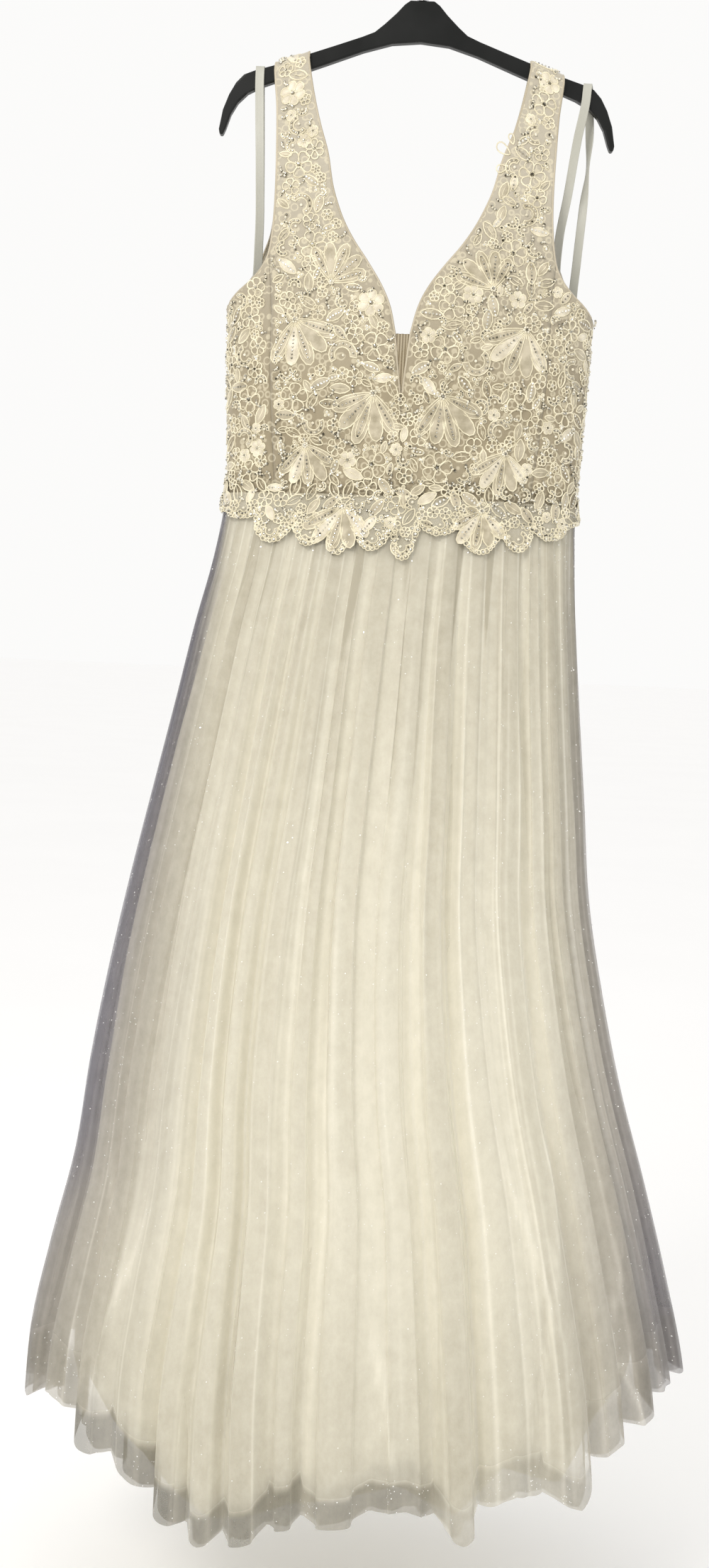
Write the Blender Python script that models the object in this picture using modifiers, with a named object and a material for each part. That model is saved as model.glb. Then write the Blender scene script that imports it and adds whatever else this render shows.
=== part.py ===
# Wedding dress with a lace bodice and a gathered tulle skirt, hanging on a hanger.
# Units are metres. +Z is up, the front of the dress faces -Y, and the origin is
# the inside top of the hanger's hook, where a rail carries it.

import math
from collections import namedtuple

import bmesh
import bpy
import numpy as np
from mathutils import Vector
from mathutils.geometry import delaunay_2d_cdt

# Driving sizes of the dress
SEAM_GAP = 0.0003
PANEL_WALL = 0.0020
TULLE_WALL = 0.0012
LINING_WALL = 0.0012
BORDER_WALL = 0.0012
MESH_WALL = 0.0010
SHOULDER_Z = -0.1333
UNDERARM_Z = -0.386
NOTCH_TOP_Z = -0.416
NOTCH_LOW_Z = -0.479
NOTCH_TIP_HALF = 0.0008
NOTCH_SEAM = 0.006
NOTCH_INSET = 0.0005
BACK_V_Z = -0.412
BACK_V_SEAM = 0.003
PLACKET_HALF = 0.008
PLACKET_WALL = 0.0012
WAIST_Z = -0.585
WAIST_BAND = 0.003
HEM_Z = -1.592
HEM_SIDE_LIFT = 0.047
FOLD_DEPTH = 0.018
LINING_SHORTER = 0.012
WRAP_RADIUS = 0.0108

# Driving sizes of the hanger
ARM_SLOPE = 0.365
STRAP_MIDDLE = 0.137
HANGER_HALF_THICK = 0.0055
HANGER_EDGE = 0.0040
HOOK_WIRE = 0.0019
HOOK_INSIDE = 0.0200
NECK_TOP_Z = -0.060
COLLAR_HEIGHT = 0.007
COLLAR_RADIUS = 0.0062

# Mesh density
EDGE_STEP = 0.015
PANEL_STEPS = (0.017, 0.030)
FOLD_COLUMNS = (0.0, 0.20, 0.50, 0.80)
CREST_ROUNDNESS = 0.75
RELIEF = 0.0014
RELIEF_MARGIN = 0.0045
RELIEF_SPACING = 0.0038
RIM_SAMPLE = 0.004
WRAP_STEPS = 4
SEAM_ROWS = 15

# The cloth's sections: an oval at each height, deeper in front than behind
Section = namedtuple("Section", "z half_width front back shift")
SECTIONS = (
    Section(-0.120, 0.430, 0.0108, 0.0108, 0.000),
    Section(-0.150, 0.400, 0.0140, 0.0130, 0.000),
    Section(-0.200, 0.330, 0.0250, 0.0200, 0.000),
    Section(-0.280, 0.265, 0.0420, 0.0330, 0.000),
    Section(-0.340, 0.221, 0.0560, 0.0430, 0.001),
    Section(-0.386, 0.197, 0.0670, 0.0500, 0.002),
    Section(-0.430, 0.194, 0.0740, 0.0540, 0.002),
    Section(-0.480, 0.192, 0.0740, 0.0550, 0.002),
    Section(-0.530, 0.190, 0.0690, 0.0550, 0.002),
    Section(-0.585, 0.188, 0.0660, 0.0560, 0.001),
    Section(-0.650, 0.193, 0.0840, 0.0740, -0.003),
    Section(-0.720, 0.203, 0.1050, 0.0960, -0.009),
    Section(-0.800, 0.214, 0.1260, 0.1170, -0.014),
    Section(-0.900, 0.229, 0.1480, 0.1390, -0.020),
    Section(-1.000, 0.244, 0.1660, 0.1570, -0.026),
    Section(-1.100, 0.263, 0.1810, 0.1730, -0.026),
    Section(-1.200, 0.283, 0.1950, 0.1880, -0.022),
    Section(-1.300, 0.304, 0.2080, 0.2020, -0.013),
    Section(-1.400, 0.329, 0.2210, 0.2160, -0.010),
    Section(-1.500, 0.350, 0.2350, 0.2300, -0.007),
    Section(-1.640, 0.360, 0.2520, 0.2470, -0.001),
)

# How far the folds have opened at each height, as a share of their hem depth
Opening = namedtuple("Opening", "z share")
OPENINGS = (
    Opening(-0.585, 0.07),
    Opening(-0.650, 0.20),
    Opening(-0.720, 0.32),
    Opening(-0.800, 0.42),
    Opening(-0.950, 0.54),
    Opening(-1.200, 0.70),
    Opening(-1.400, 0.86),
    Opening(-1.640, 1.00),
)

# Half width of the neck and armhole edges at each height
Edge = namedtuple("Edge", "z x")
NECK = (
    Edge(-0.120, 0.119),
    Edge(-0.140, 0.116),
    Edge(-0.170, 0.110),
    Edge(-0.200, 0.102),
    Edge(-0.230, 0.091),
    Edge(-0.260, 0.084),
    Edge(-0.280, 0.077),
    Edge(-0.300, 0.068),
    Edge(-0.320, 0.056),
    Edge(-0.342, 0.040),
    Edge(-0.365, 0.025),
    Edge(-0.387, 0.015),
    Edge(-0.416, 0.008),
)
BACK_NECK = (
    Edge(-0.120, 0.119),
    Edge(-0.140, 0.116),
    Edge(-0.170, 0.110),
    Edge(-0.200, 0.102),
    Edge(-0.240, 0.090),
    Edge(-0.280, 0.076),
    Edge(-0.310, 0.060),
    Edge(-0.340, 0.041),
    Edge(-0.370, 0.023),
    Edge(-0.395, 0.011),
    Edge(-0.412, 0.005),
)
ARMHOLE = (
    Edge(-0.120, 0.153),
    Edge(-0.145, 0.151),
    Edge(-0.175, 0.148),
    Edge(-0.220, 0.146),
    Edge(-0.265, 0.145),
    Edge(-0.300, 0.146),
    Edge(-0.332, 0.150),
    Edge(-0.348, 0.157),
    Edge(-0.362, 0.169),
    Edge(-0.374, 0.184),
    Edge(-0.386, 0.196),
)
BACK_ARMHOLE = (
    Edge(-0.120, 0.153),
    Edge(-0.160, 0.149),
    Edge(-0.220, 0.147),
    Edge(-0.270, 0.148),
    Edge(-0.300, 0.152),
    Edge(-0.320, 0.159),
    Edge(-0.340, 0.167),
    Edge(-0.356, 0.177),
    Edge(-0.372, 0.188),
    Edge(-0.386, 0.195),
)
PRINCESS = (
    Edge(-0.332, 0.150),
    Edge(-0.400, 0.146),
    Edge(-0.450, 0.145),
    Edge(-0.510, 0.141),
    Edge(-0.585, 0.134),
)

# The centre line hangs a little to the left of the side seams' middle
Lean = namedtuple("Lean", "z x")
LEANS = (
    Lean(-0.200, 0.000),
    Lean(-0.260, -0.002),
    Lean(-0.320, -0.005),
    Lean(-0.380, -0.008),
    Lean(-0.480, -0.007),
    Lean(-0.585, 0.000),
)

# Skirt folds, from the left side seam round the front or the back.
# A fold starts at its valley; angles are degrees round the oval from centre front
# or centre back, depths are shares of FOLD_DEPTH, and hem is how much lower it hangs.
Fold = namedtuple("Fold", "start valley crest hem")
FRONT_FOLDS = (
    Fold(-90.0, -0.10, 0.55, 0.000),
    Fold(-79.0, -0.45, 0.95, 0.006),
    Fold(-68.0, -1.00, 0.80, -0.026),
    Fold(-55.0, -0.70, 1.10, 0.002),
    Fold(-45.0, -0.15, 0.45, 0.010),
    Fold(-35.0, -1.00, 0.75, 0.036),
    Fold(-28.5, -0.55, 0.60, 0.048),
    Fold(-22.5, -0.75, 0.85, 0.034),
    Fold(-14.0, -0.10, 0.50, 0.012),
    Fold(-8.2, -0.60, 0.75, 0.004),
    Fold(2.3, -0.05, 0.40, -0.012),
    Fold(12.9, -0.85, 0.90, 0.022),
    Fold(21.4, -0.95, 0.55, -0.014),
    Fold(31.9, 0.05, 0.75, 0.018),
    Fold(44.6, -0.90, 0.65, -0.024),
    Fold(53.0, -0.35, 0.95, -0.036),
    Fold(62.0, -1.00, 0.70, -0.048),
    Fold(72.0, -0.50, 0.95, -0.046),
    Fold(81.5, -0.40, 0.55, -0.034),
    Fold(90.0, -0.10, 0.55, 0.000),
)
BACK_FOLDS = (
    Fold(-90.0, -0.10, 0.60, -0.020),
    Fold(-79.0, -0.60, 0.90, -0.008),
    Fold(-68.0, -0.35, 0.55, 0.004),
    Fold(-57.0, -0.95, 1.05, 0.012),
    Fold(-43.0, -0.50, 0.50, 0.006),
    Fold(-34.0, -0.85, 0.80, 0.016),
    Fold(-24.5, -0.15, 0.45, 0.020),
    Fold(-16.0, -0.95, 0.95, 0.012),
    Fold(-5.5, -0.30, 0.60, 0.014),
    Fold(4.0, -0.80, 1.00, 0.012),
    Fold(14.5, -0.45, 0.50, 0.018),
    Fold(23.0, -1.00, 0.85, 0.008),
    Fold(35.5, -0.20, 0.60, 0.012),
    Fold(46.0, -0.75, 1.00, -0.002),
    Fold(58.5, -0.50, 0.70, -0.010),
    Fold(69.0, -0.85, 0.80, -0.018),
    Fold(80.0, -0.45, 0.60, -0.026),
    Fold(90.0, -0.10, 0.60, -0.020),
)
SKIRT_ROWS = (0.0, 0.022, 0.050, 0.090, 0.160, 0.280, 0.440, 0.620, 0.810, 1.0)
LINING_COLUMNS = 26
LINING_WAVE = 0.0025
LINING_ROOM = 0.0022
LINING_SIDE_ROOM = 0.024
LINING_WAVES = 7

# Scallops of the lace border below the waist: middle, half width and lowest point
Scallop = namedtuple("Scallop", "x half low")
FRONT_SCALLOPS = (
    Scallop(-0.163, 0.014, -0.609),
    Scallop(-0.128, 0.020, -0.634),
    Scallop(-0.090, 0.017, -0.636),
    Scallop(-0.060, 0.012, -0.645),
    Scallop(-0.027, 0.020, -0.639),
    Scallop(0.006, 0.012, -0.648),
    Scallop(0.040, 0.021, -0.620),
    Scallop(0.083, 0.021, -0.638),
    Scallop(0.121, 0.016, -0.633),
    Scallop(0.155, 0.017, -0.619),
)
BACK_SCALLOPS = (
    Scallop(-0.160, 0.015, -0.612),
    Scallop(-0.124, 0.019, -0.631),
    Scallop(-0.086, 0.018, -0.640),
    Scallop(-0.048, 0.018, -0.633),
    Scallop(-0.012, 0.017, -0.645),
    Scallop(0.025, 0.018, -0.636),
    Scallop(0.063, 0.019, -0.643),
    Scallop(0.103, 0.020, -0.630),
    Scallop(0.144, 0.019, -0.618),
)
BORDER_TOP_Z = WAIST_Z - SEAM_GAP
BORDER_VALLEY_Z = -0.602
BORDER_END_Z = -0.596
BORDER_HOLE_Z = -0.5945
BORDER_LIFT = 0.0012
BORDER_SIDE_LIFT = 0.0012
BORDER_STEP = 0.012
BORDER_HOLE = 0.0036

# Raised lace motifs: kind, distance from the centre line, height, size, direction
Motif = namedtuple("Motif", "kind x z size angle")
FRONT_MOTIFS = (
    Motif("flower", 0.132, -0.165, 0.013, 20),
    Motif("scroll", 0.124, -0.200, 0.011, 80),
    Motif("flower", 0.122, -0.240, 0.014, 50),
    Motif("scroll", 0.118, -0.282, 0.013, 250),
    Motif("flower", 0.104, -0.325, 0.015, 10),
    Motif("fan", 0.082, -0.362, 0.040, 110),
    Motif("flower", 0.042, -0.385, 0.014, 35),
    Motif("fan", 0.118, -0.405, 0.042, 250),
    Motif("flower", 0.036, -0.430, 0.015, 60),
    Motif("scroll", 0.070, -0.440, 0.016, 190),
    Motif("fan", 0.030, -0.480, 0.040, 285),
    Motif("flower", 0.108, -0.487, 0.016, 25),
    Motif("scroll", 0.078, -0.510, 0.014, 20),
    Motif("flower", 0.034, -0.550, 0.016, 75),
    Motif("fan", 0.096, -0.532, 0.038, 265),
)
SIDE_MOTIFS = (
    Motif("flower", 0.168, -0.400, 0.012, 15),
    Motif("scroll", 0.172, -0.440, 0.012, 70),
    Motif("flower", 0.166, -0.485, 0.014, 40),
    Motif("scroll", 0.170, -0.525, 0.012, 240),
    Motif("flower", 0.162, -0.560, 0.012, 5),
)
BACK_MOTIFS = (
    Motif("flower", 0.130, -0.175, 0.013, 40),
    Motif("scroll", 0.123, -0.220, 0.012, 260),
    Motif("flower", 0.115, -0.270, 0.014, 10),
    Motif("scroll", 0.106, -0.315, 0.013, 60),
    Motif("fan", 0.092, -0.352, 0.040, 255),
    Motif("flower", 0.046, -0.385, 0.014, 20),
    Motif("flower", 0.140, -0.390, 0.015, 50),
    Motif("scroll", 0.060, -0.428, 0.015, 150),
    Motif("fan", 0.128, -0.425, 0.038, 275),
    Motif("flower", 0.088, -0.465, 0.016, 35),
    Motif("flower", 0.036, -0.485, 0.015, 65),
    Motif("fan", 0.062, -0.515, 0.038, 265),
    Motif("scroll", 0.118, -0.515, 0.014, 330),
    Motif("flower", 0.150, -0.530, 0.014, 15),
    Motif("flower", 0.110, -0.558, 0.013, 45),
)

# Ribbon hanger loops: where each strand runs, with the ribbon's face direction
Strand = namedtuple("Strand", "x y z turn")
LEFT_LOOP = (
    Strand(-0.1795, -0.0040, -0.4150, 20),
    Strand(-0.1650, -0.0050, -0.3700, 10),
    Strand(-0.1620, -0.0066, -0.3100, 5),
    Strand(-0.1640, -0.0074, -0.2400, 0),
    Strand(-0.1670, -0.0078, -0.1750, 0),
    Strand(-0.1680, -0.0078, -0.1480, 0),
    Strand(-0.1680, -0.0069, -0.1385, 0),
    Strand(-0.1680, -0.0053, -0.1345, 0),
    Strand(-0.1680, 0.0000, -0.1334, 0),
    Strand(-0.1680, 0.0053, -0.1345, 0),
    Strand(-0.1680, 0.0069, -0.1385, 0),
    Strand(-0.1680, 0.0078, -0.1480, 0),
    Strand(-0.1670, 0.0078, -0.1750, 0),
    Strand(-0.1645, 0.0074, -0.2400, 0),
    Strand(-0.1630, 0.0066, -0.3100, -5),
    Strand(-0.1660, 0.0050, -0.3700, -10),
    Strand(-0.1800, 0.0040, -0.4150, -20),
)
RIGHT_LOOP = (
    Strand(0.1795, -0.0040, -0.4150, -20),
    Strand(0.1560, -0.0055, -0.3500, -10),
    Strand(0.1560, -0.0066, -0.3000, -8),
    Strand(0.1625, -0.0074, -0.2550, -5),
    Strand(0.1700, -0.0078, -0.1950, 0),
    Strand(0.1768, -0.0080, -0.1530, 0),
    Strand(0.1775, -0.0070, -0.1415, 0),
    Strand(0.1780, -0.0055, -0.1378, 0),
    Strand(0.1785, 0.0000, -0.1364, 0),
    Strand(0.1798, 0.0053, -0.1374, 0),
    Strand(0.1805, 0.0069, -0.1410, 0),
    Strand(0.1815, 0.0078, -0.1530, 0),
    Strand(0.1840, 0.0080, -0.1850, 25),
    Strand(0.1840, 0.0085, -0.2200, 75),
    Strand(0.1815, 0.0085, -0.2600, 25),
    Strand(0.1775, 0.0078, -0.3200, 5),
    Strand(0.1750, 0.0060, -0.3650, 0),
    Strand(0.1800, 0.0040, -0.4150, 0),
)
RIBBON_HALF_WIDTH = 0.0046
RIBBON_HALF_THICK = 0.0005

# Upper and lower edges of the hanger's right half, from its middle outwards
Outline = namedtuple("Outline", "x z")
HANGER_TOP = (
    Outline(0.0000, -0.0600),
    Outline(0.0130, -0.0600),
    Outline(0.0185, -0.0640),
    Outline(0.0270, -0.0735),
    Outline(0.0390, -0.0850),
    Outline(0.0490, -0.0935),
    Outline(0.0620, -0.0990),
    Outline(0.0880, -0.1085),
    Outline(0.1180, -0.1192),
    Outline(0.1560, -0.1330),
    Outline(0.1740, -0.1385),
    Outline(0.1850, -0.1430),
    Outline(0.1930, -0.1515),
    Outline(0.2000, -0.1640),
    Outline(0.2060, -0.1800),
    Outline(0.2095, -0.2000),
)
HANGER_LOW = (
    Outline(0.2085, -0.2055),
    Outline(0.2050, -0.2060),
    Outline(0.2020, -0.1990),
    Outline(0.1970, -0.1840),
    Outline(0.1900, -0.1720),
    Outline(0.1800, -0.1620),
    Outline(0.1660, -0.1545),
    Outline(0.1370, -0.1435),
    Outline(0.1000, -0.1295),
    Outline(0.0600, -0.1140),
    Outline(0.0300, -0.1050),
    Outline(0.0000, -0.1020),
)


def clear_scene():
    for item in list(bpy.data.objects):
        bpy.data.objects.remove(item, do_unlink=True)


def new_collection(name):
    group = bpy.data.collections.new(name)
    bpy.context.scene.collection.children.link(group)
    return group


def new_material(name, colour, roughness, metallic=0.0):
    result = bpy.data.materials.new(name)
    result.use_nodes = True
    shader = result.node_tree.nodes["Principled BSDF"]
    shader.inputs["Base Color"].default_value = (*colour, 1.0)
    shader.inputs["Roughness"].default_value = roughness
    shader.inputs["Metallic"].default_value = metallic
    return result


def smooth_curve(heights, values, z):
    """Cubic curve through the values, with heights given from the top down."""
    last = len(heights) - 1
    if z >= heights[0]:
        return values[0]
    if z <= heights[last]:
        return values[last]
    i = 0
    while z < heights[i + 1]:
        i += 1
    span = heights[i + 1] - heights[i]
    t = (z - heights[i]) / span

    def slope(k):
        low = max(k - 1, 0)
        high = min(k + 1, last)
        return (values[high] - values[low]) / (heights[high] - heights[low])

    start = slope(i) * span
    end = slope(i + 1) * span
    return (
        (2 * t**3 - 3 * t**2 + 1) * values[i]
        + (t**3 - 2 * t**2 + t) * start
        + (3 * t**2 - 2 * t**3) * values[i + 1]
        + (t**3 - t**2) * end
    )


def column_value(table, column, z):
    heights = [row.z for row in table]
    values = [getattr(row, column) for row in table]
    return smooth_curve(heights, values, z)


def section_at(z, side):
    depth = "front" if side > 0 else "back"
    return (
        column_value(SECTIONS, "half_width", z),
        column_value(SECTIONS, depth, z),
        column_value(SECTIONS, "shift", z),
    )


ANGLES = np.linspace(0.0, math.pi / 2, 73)


def arc_lengths(width, depth):
    """Distance round a quarter oval from its middle, at each of ANGLES."""
    speed = np.sqrt((width * np.cos(ANGLES)) ** 2 + (depth * np.sin(ANGLES)) ** 2)
    steps = 0.5 * (speed[1:] + speed[:-1]) * np.diff(ANGLES)
    return np.concatenate(([0.0], np.cumsum(steps)))


def side_distance(z, side):
    """Distance along the cloth from the centre line to the side seam."""
    width, depth, _ = section_at(z, side)
    return float(arc_lengths(width, depth)[-1])


def cloth_distance(x, z, side):
    """Distance along the cloth from the centre line to a half width x."""
    width, depth, _ = section_at(z, side)
    angle = math.asin(max(-1.0, min(1.0, abs(x) / width)))
    return math.copysign(float(np.interp(angle, ANGLES, arc_lengths(width, depth))), x)


def arm_drop(x, z):
    """The straps follow the slope of the hanger's arms, less and less lower down."""
    share = max(0.0, min(1.0, (z + 0.24) / (SHOULDER_Z + 0.24)))
    return -ARM_SLOPE * (abs(x) - STRAP_MIDDLE) * share


def bodice_point(s, z, side):
    """Point on the outside of the bodice; above SHOULDER_Z it wraps over the hanger."""
    height = z
    width, depth, shift = section_at(min(z, SHOULDER_Z), side)
    if z > SHOULDER_Z:
        turn = (z - SHOULDER_Z) / WRAP_RADIUS
        depth = depth * math.cos(turn)
        height = SHOULDER_Z + WRAP_RADIUS * math.sin(turn)
    lengths = arc_lengths(width, section_at(min(z, SHOULDER_Z), side)[1])
    angle = float(np.interp(abs(s), lengths, ANGLES))
    x = math.copysign(width * math.sin(angle), s) + shift
    y = -side * depth * math.cos(angle)
    return Vector((x, y, height + arm_drop(x, height)))


def bodice_place(side):
    """A function that moves a point of the bodice out along its normal."""
    step = 0.0004

    def place(s, z, out):
        point = bodice_point(s, z, side)
        along = bodice_point(s + step, z, side) - bodice_point(s - step, z, side)
        down = bodice_point(s, z - step, side) - bodice_point(s, z + step, side)
        normal = down.cross(along).normalized()
        if z < WAIST_Z + WAIST_BAND:
            normal = Vector((normal.x, normal.y, 0.0)).normalized()
        return point + side * normal * out

    return place


def run(points, step):
    """Points along a polyline, no further apart than step, without the last one."""
    result = []
    for start, end in zip(points[:-1], points[1:]):
        count = max(1, math.ceil(math.dist(start, end) / step))
        for k in range(count):
            t = k / count
            result.append((start[0] + (end[0] - start[0]) * t, start[1] + (end[1] - start[1]) * t))
    return result


def edge_points(table, top, low, count):
    """Heights and half widths read down an edge table."""
    heights = np.linspace(top, low, count)
    return [(column_value(table, "x", float(z)), float(z)) for z in heights]


def inside(point, loop):
    """True where the point lies in the closed loop."""
    x, y = point
    found = False
    for (x0, y0), (x1, y1) in zip(loop, loop[1:] + loop[:1]):
        if (y0 > y) != (y1 > y) and x < (x1 - x0) * (y - y0) / (y1 - y0) + x0:
            found = not found
    return found


def clear_of(point, others, distance):
    return all(math.dist(point, other) > distance for other in others)


def polar(centre, radius, degrees):
    angle = math.radians(degrees)
    return (centre[0] + radius * math.cos(angle), centre[1] + radius * math.sin(angle))


def flower_points(centre, size, angle):
    """Five rounded petals round a raised eye."""
    points = [(centre, 0.9)]
    for k in range(5):
        ray = angle + 72 * k
        points.append((polar(centre, size * 0.58, ray), 1.0))
        points.append((polar(centre, size, ray), 0.0))
        points.append((polar(centre, size * 0.62, ray + 36), 0.0))
    return points


def fan_points(centre, size, angle):
    """Five long petals that spread from one root."""
    points = [(centre, 0.5)]
    for k in range(-2, 3):
        ray = angle + 26 * k
        for share, height in ((0.38, 0.8), (0.68, 1.0), (1.0, 0.0)):
            points.append((polar(centre, size * share, ray), height))
    for k in range(6):
        ray = angle + 26 * (k - 2.5)
        points.append((polar(centre, size * 0.55, ray), 0.0))
    return points


def scroll_points(centre, size, angle):
    """A cord that curls through two thirds of a turn."""
    points = []
    for k in range(5):
        ray = angle + 52 * k
        reach = size * (1.0 - 0.09 * k)
        points.append((polar(centre, reach, ray), 0.9))
        points.append((polar(centre, reach + 0.0045, ray), 0.0))
    points.append((centre, 0.0))
    return points


MOTIF_KINDS = {"flower": flower_points, "fan": fan_points, "scroll": scroll_points}


def motif_points(motifs, hand, side, loop, bends=()):
    """Relief points of the motifs on one half, kept inside the panel."""
    result = []
    rim = run(loop + loop[:1], RIM_SAMPLE)
    for motif in motifs:
        centre = (cloth_distance(motif.x, motif.z, side), motif.z)
        for (s, z), height in MOTIF_KINDS[motif.kind](centre, motif.size, motif.angle):
            point = (hand * s, z)
            taken = [other for other, _ in result] + list(bends)
            if inside(point, loop) and clear_of(point, rim, RELIEF_MARGIN):
                if clear_of(point, taken, RELIEF_SPACING):
                    result.append((point, height))
    return result


def grid_points(loop, holes, taken, step):
    """Staggered points that fill the loop, clear of its edge and of the taken ones."""
    xs = [p[0] for p in loop]
    zs = [p[1] for p in loop]
    rim = run(loop + loop[:1], RIM_SAMPLE)
    for hole in holes:
        rim = rim + run(hole + hole[:1], RIM_SAMPLE)
    result = []
    row = 0
    z = min(zs) + 0.5 * step
    while z < max(zs):
        x = min(xs) + (0.5 if row % 2 else 0.0) * step
        while x < max(xs):
            point = (x, z)
            if inside(point, loop) and not any(inside(point, hole) for hole in holes):
                if clear_of(point, rim, 0.55 * step) and clear_of(point, taken, 0.7 * step):
                    result.append(point)
            x += step
        z += step * 0.866
        row += 1
    return result


def triangles(loops, points):
    """Triangles inside the first loop and outside the others, on all the points."""
    flat = [point for loop in loops for point in loop] + points
    edges = []
    first = 0
    for loop in loops:
        count = len(loop)
        edges += [(first + k, first + (k + 1) % count) for k in range(count)]
        first += count
    result = delaunay_2d_cdt([Vector(p) for p in flat], edges, [], 1, 1e-7)
    spots, faces, sources = result[0], result[2], result[3]
    index = [source[0] for source in sources]
    kept = []
    for face in faces:
        middle = sum((spots[k] for k in face), Vector((0.0, 0.0))) / 3
        here = (middle.x, middle.y)
        if inside(here, loops[0]) and not any(inside(here, hole) for hole in loops[1:]):
            kept.append([index[k] for k in face])
    return flat, kept


def panel(name, place, loop, motifs, holes=(), bends=(), steps=PANEL_STEPS, lift=0.0, wall=PANEL_WALL):
    """A cloth wall with raised motifs outside and a plain inside."""
    loops = [loop] + list(holes)
    rim_count = sum(len(item) for item in loops)
    raised = [point for point, _ in motifs] + list(bends)
    outer_fill = raised + grid_points(loop, holes, raised, steps[0])
    inner_fill = list(bends) + grid_points(loop, holes, bends, steps[1])
    outer_flat, outer_faces = triangles(loops, outer_fill)
    inner_flat, inner_faces = triangles(loops, inner_fill)
    heights = [0.0] * rim_count + [h * RELIEF for _, h in motifs]
    heights += [0.0] * (len(outer_flat) - len(heights))
    build = bmesh.new()
    outer = [build.verts.new(place(s, z, lift + wall + h)) for (s, z), h in zip(outer_flat, heights)]
    inner = [build.verts.new(place(s, z, lift)) for s, z in inner_flat]
    for face in outer_faces:
        build.faces.new([outer[k] for k in face])
    for face in inner_faces:
        build.faces.new([inner[k] for k in reversed(face)])
    first = 0
    for item in loops:
        count = len(item)
        for k in range(count):
            a = first + k
            b = first + (k + 1) % count
            build.faces.new((outer[a], outer[b], inner[b], inner[a]))
        first += count
    return finish_mesh(name, build)


def wall_grid(name, outer_rows, inner_rows):
    """A cloth wall between two grids of points with the same rows and columns."""
    build = bmesh.new()
    skins = [[[build.verts.new(p) for p in row] for row in rows] for rows in (outer_rows, inner_rows)]
    row_count = len(outer_rows)
    column_count = len(outer_rows[0])
    for skin in skins:
        for i in range(row_count - 1):
            for j in range(column_count - 1):
                build.faces.new((skin[i][j], skin[i][j + 1], skin[i + 1][j + 1], skin[i + 1][j]))
    outer, inner = skins
    for i in (0, row_count - 1):
        for j in range(column_count - 1):
            build.faces.new((outer[i][j], outer[i][j + 1], inner[i][j + 1], inner[i][j]))
    for j in (0, column_count - 1):
        for i in range(row_count - 1):
            build.faces.new((outer[i][j], outer[i + 1][j], inner[i + 1][j], inner[i][j]))
    return finish_mesh(name, build)


def finish_mesh(name, build):
    """Face the mesh outwards and make it an object."""
    bmesh.ops.recalc_face_normals(build, faces=build.faces[:])
    bmesh.ops.triangulate(build, faces=build.faces[:])
    if build.calc_volume(signed=True) < 0:
        bmesh.ops.reverse_faces(build, faces=build.faces[:])
    mesh = bpy.data.meshes.new(name)
    build.to_mesh(mesh)
    build.free()
    mesh.shade_smooth()
    mesh.set_sharp_from_angle(angle=math.radians(50))
    return bpy.data.objects.new(name, mesh)


def add(group, item, material):
    item.data.materials.append(material)
    group.objects.link(item)
    return item


def half_point(row, hand, side, inset=0.0):
    """Panel coordinates of an edge point, moved in from the edge by inset."""
    x, z = row
    return (hand * (cloth_distance(x, z, side) + inset), z)


def leaning(points):
    """Points near the centre line, moved with the way it leans."""
    return [(s + column_value(LEANS, "x", z), z) for s, z in points]


def shoulder_run(table, hand, side):
    """An edge over the hanger, from SHOULDER_Z to the shoulder seam."""
    top = SHOULDER_Z + WRAP_RADIUS * math.pi / 2 - SEAM_GAP / 2
    s = cloth_distance(column_value(table, "x", SHOULDER_Z), SHOULDER_Z, side)
    return [(hand * s, float(z)) for z in np.linspace(SHOULDER_Z, top, WRAP_STEPS + 1)]


def wrap_points(over_arm, over_neck):
    """Points across the strap where it bends over the hanger, for both skins."""
    result = []
    for outer, inner in zip(over_arm[:-1], over_neck[:-1]):
        for share in (1 / 3, 2 / 3):
            result.append((outer[0] + (inner[0] - outer[0]) * share, outer[1]))
    return result


def front_panel(hand):
    """Front between centre front and princess seam, with its strap."""
    half = SEAM_GAP / 2
    seam = [half_point(p, hand, 1, -half) for p in edge_points(PRINCESS, WAIST_Z, -0.335, 6)]
    arm = [half_point(p, hand, 1) for p in edge_points(ARMHOLE, -0.332, -0.150, 8)]
    neck = leaning([half_point(p, hand, 1) for p in edge_points(NECK, -0.150, NOTCH_TOP_Z, 13)])
    over_arm = shoulder_run(ARMHOLE, hand, 1)
    over_neck = shoulder_run(NECK, hand, 1)
    heights = np.linspace(NOTCH_LOW_Z - NOTCH_SEAM, WAIST_Z, 8)
    centre = leaning([(hand * half, float(z)) for z in heights])
    notch = leaning([(hand * NOTCH_TIP_HALF, NOTCH_LOW_Z)])
    corners = seam + arm + over_arm + over_neck[::-1] + neck + notch + centre
    loop = run(corners + corners[:1], EDGE_STEP)
    bends = wrap_points(over_arm, over_neck)
    motifs = motif_points(FRONT_MOTIFS, hand, 1, loop, bends)
    name = "front_left" if hand < 0 else "front_right"
    return panel(name, bodice_place(1), loop, motifs, bends=bends, lift=-PANEL_WALL)


def side_panel(hand):
    """Side front between the princess seam and the side seam."""
    half = SEAM_GAP / 2
    seam = [half_point(p, hand, 1, half) for p in edge_points(PRINCESS, -0.340, WAIST_Z, 6)]
    heights = np.linspace(WAIST_Z, UNDERARM_Z, SEAM_ROWS)
    side_seam = [(hand * (side_distance(float(z), 1) - half), float(z)) for z in heights]
    arm = [half_point(p, hand, 1) for p in edge_points(ARMHOLE, -0.383, -0.342, 5)]
    corners = seam + side_seam + arm
    loop = run(corners + corners[:1], EDGE_STEP)
    motifs = motif_points(SIDE_MOTIFS, hand, 1, loop)
    name = "side_front_left" if hand < 0 else "side_front_right"
    return panel(name, bodice_place(1), loop, motifs, lift=-PANEL_WALL)


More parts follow.
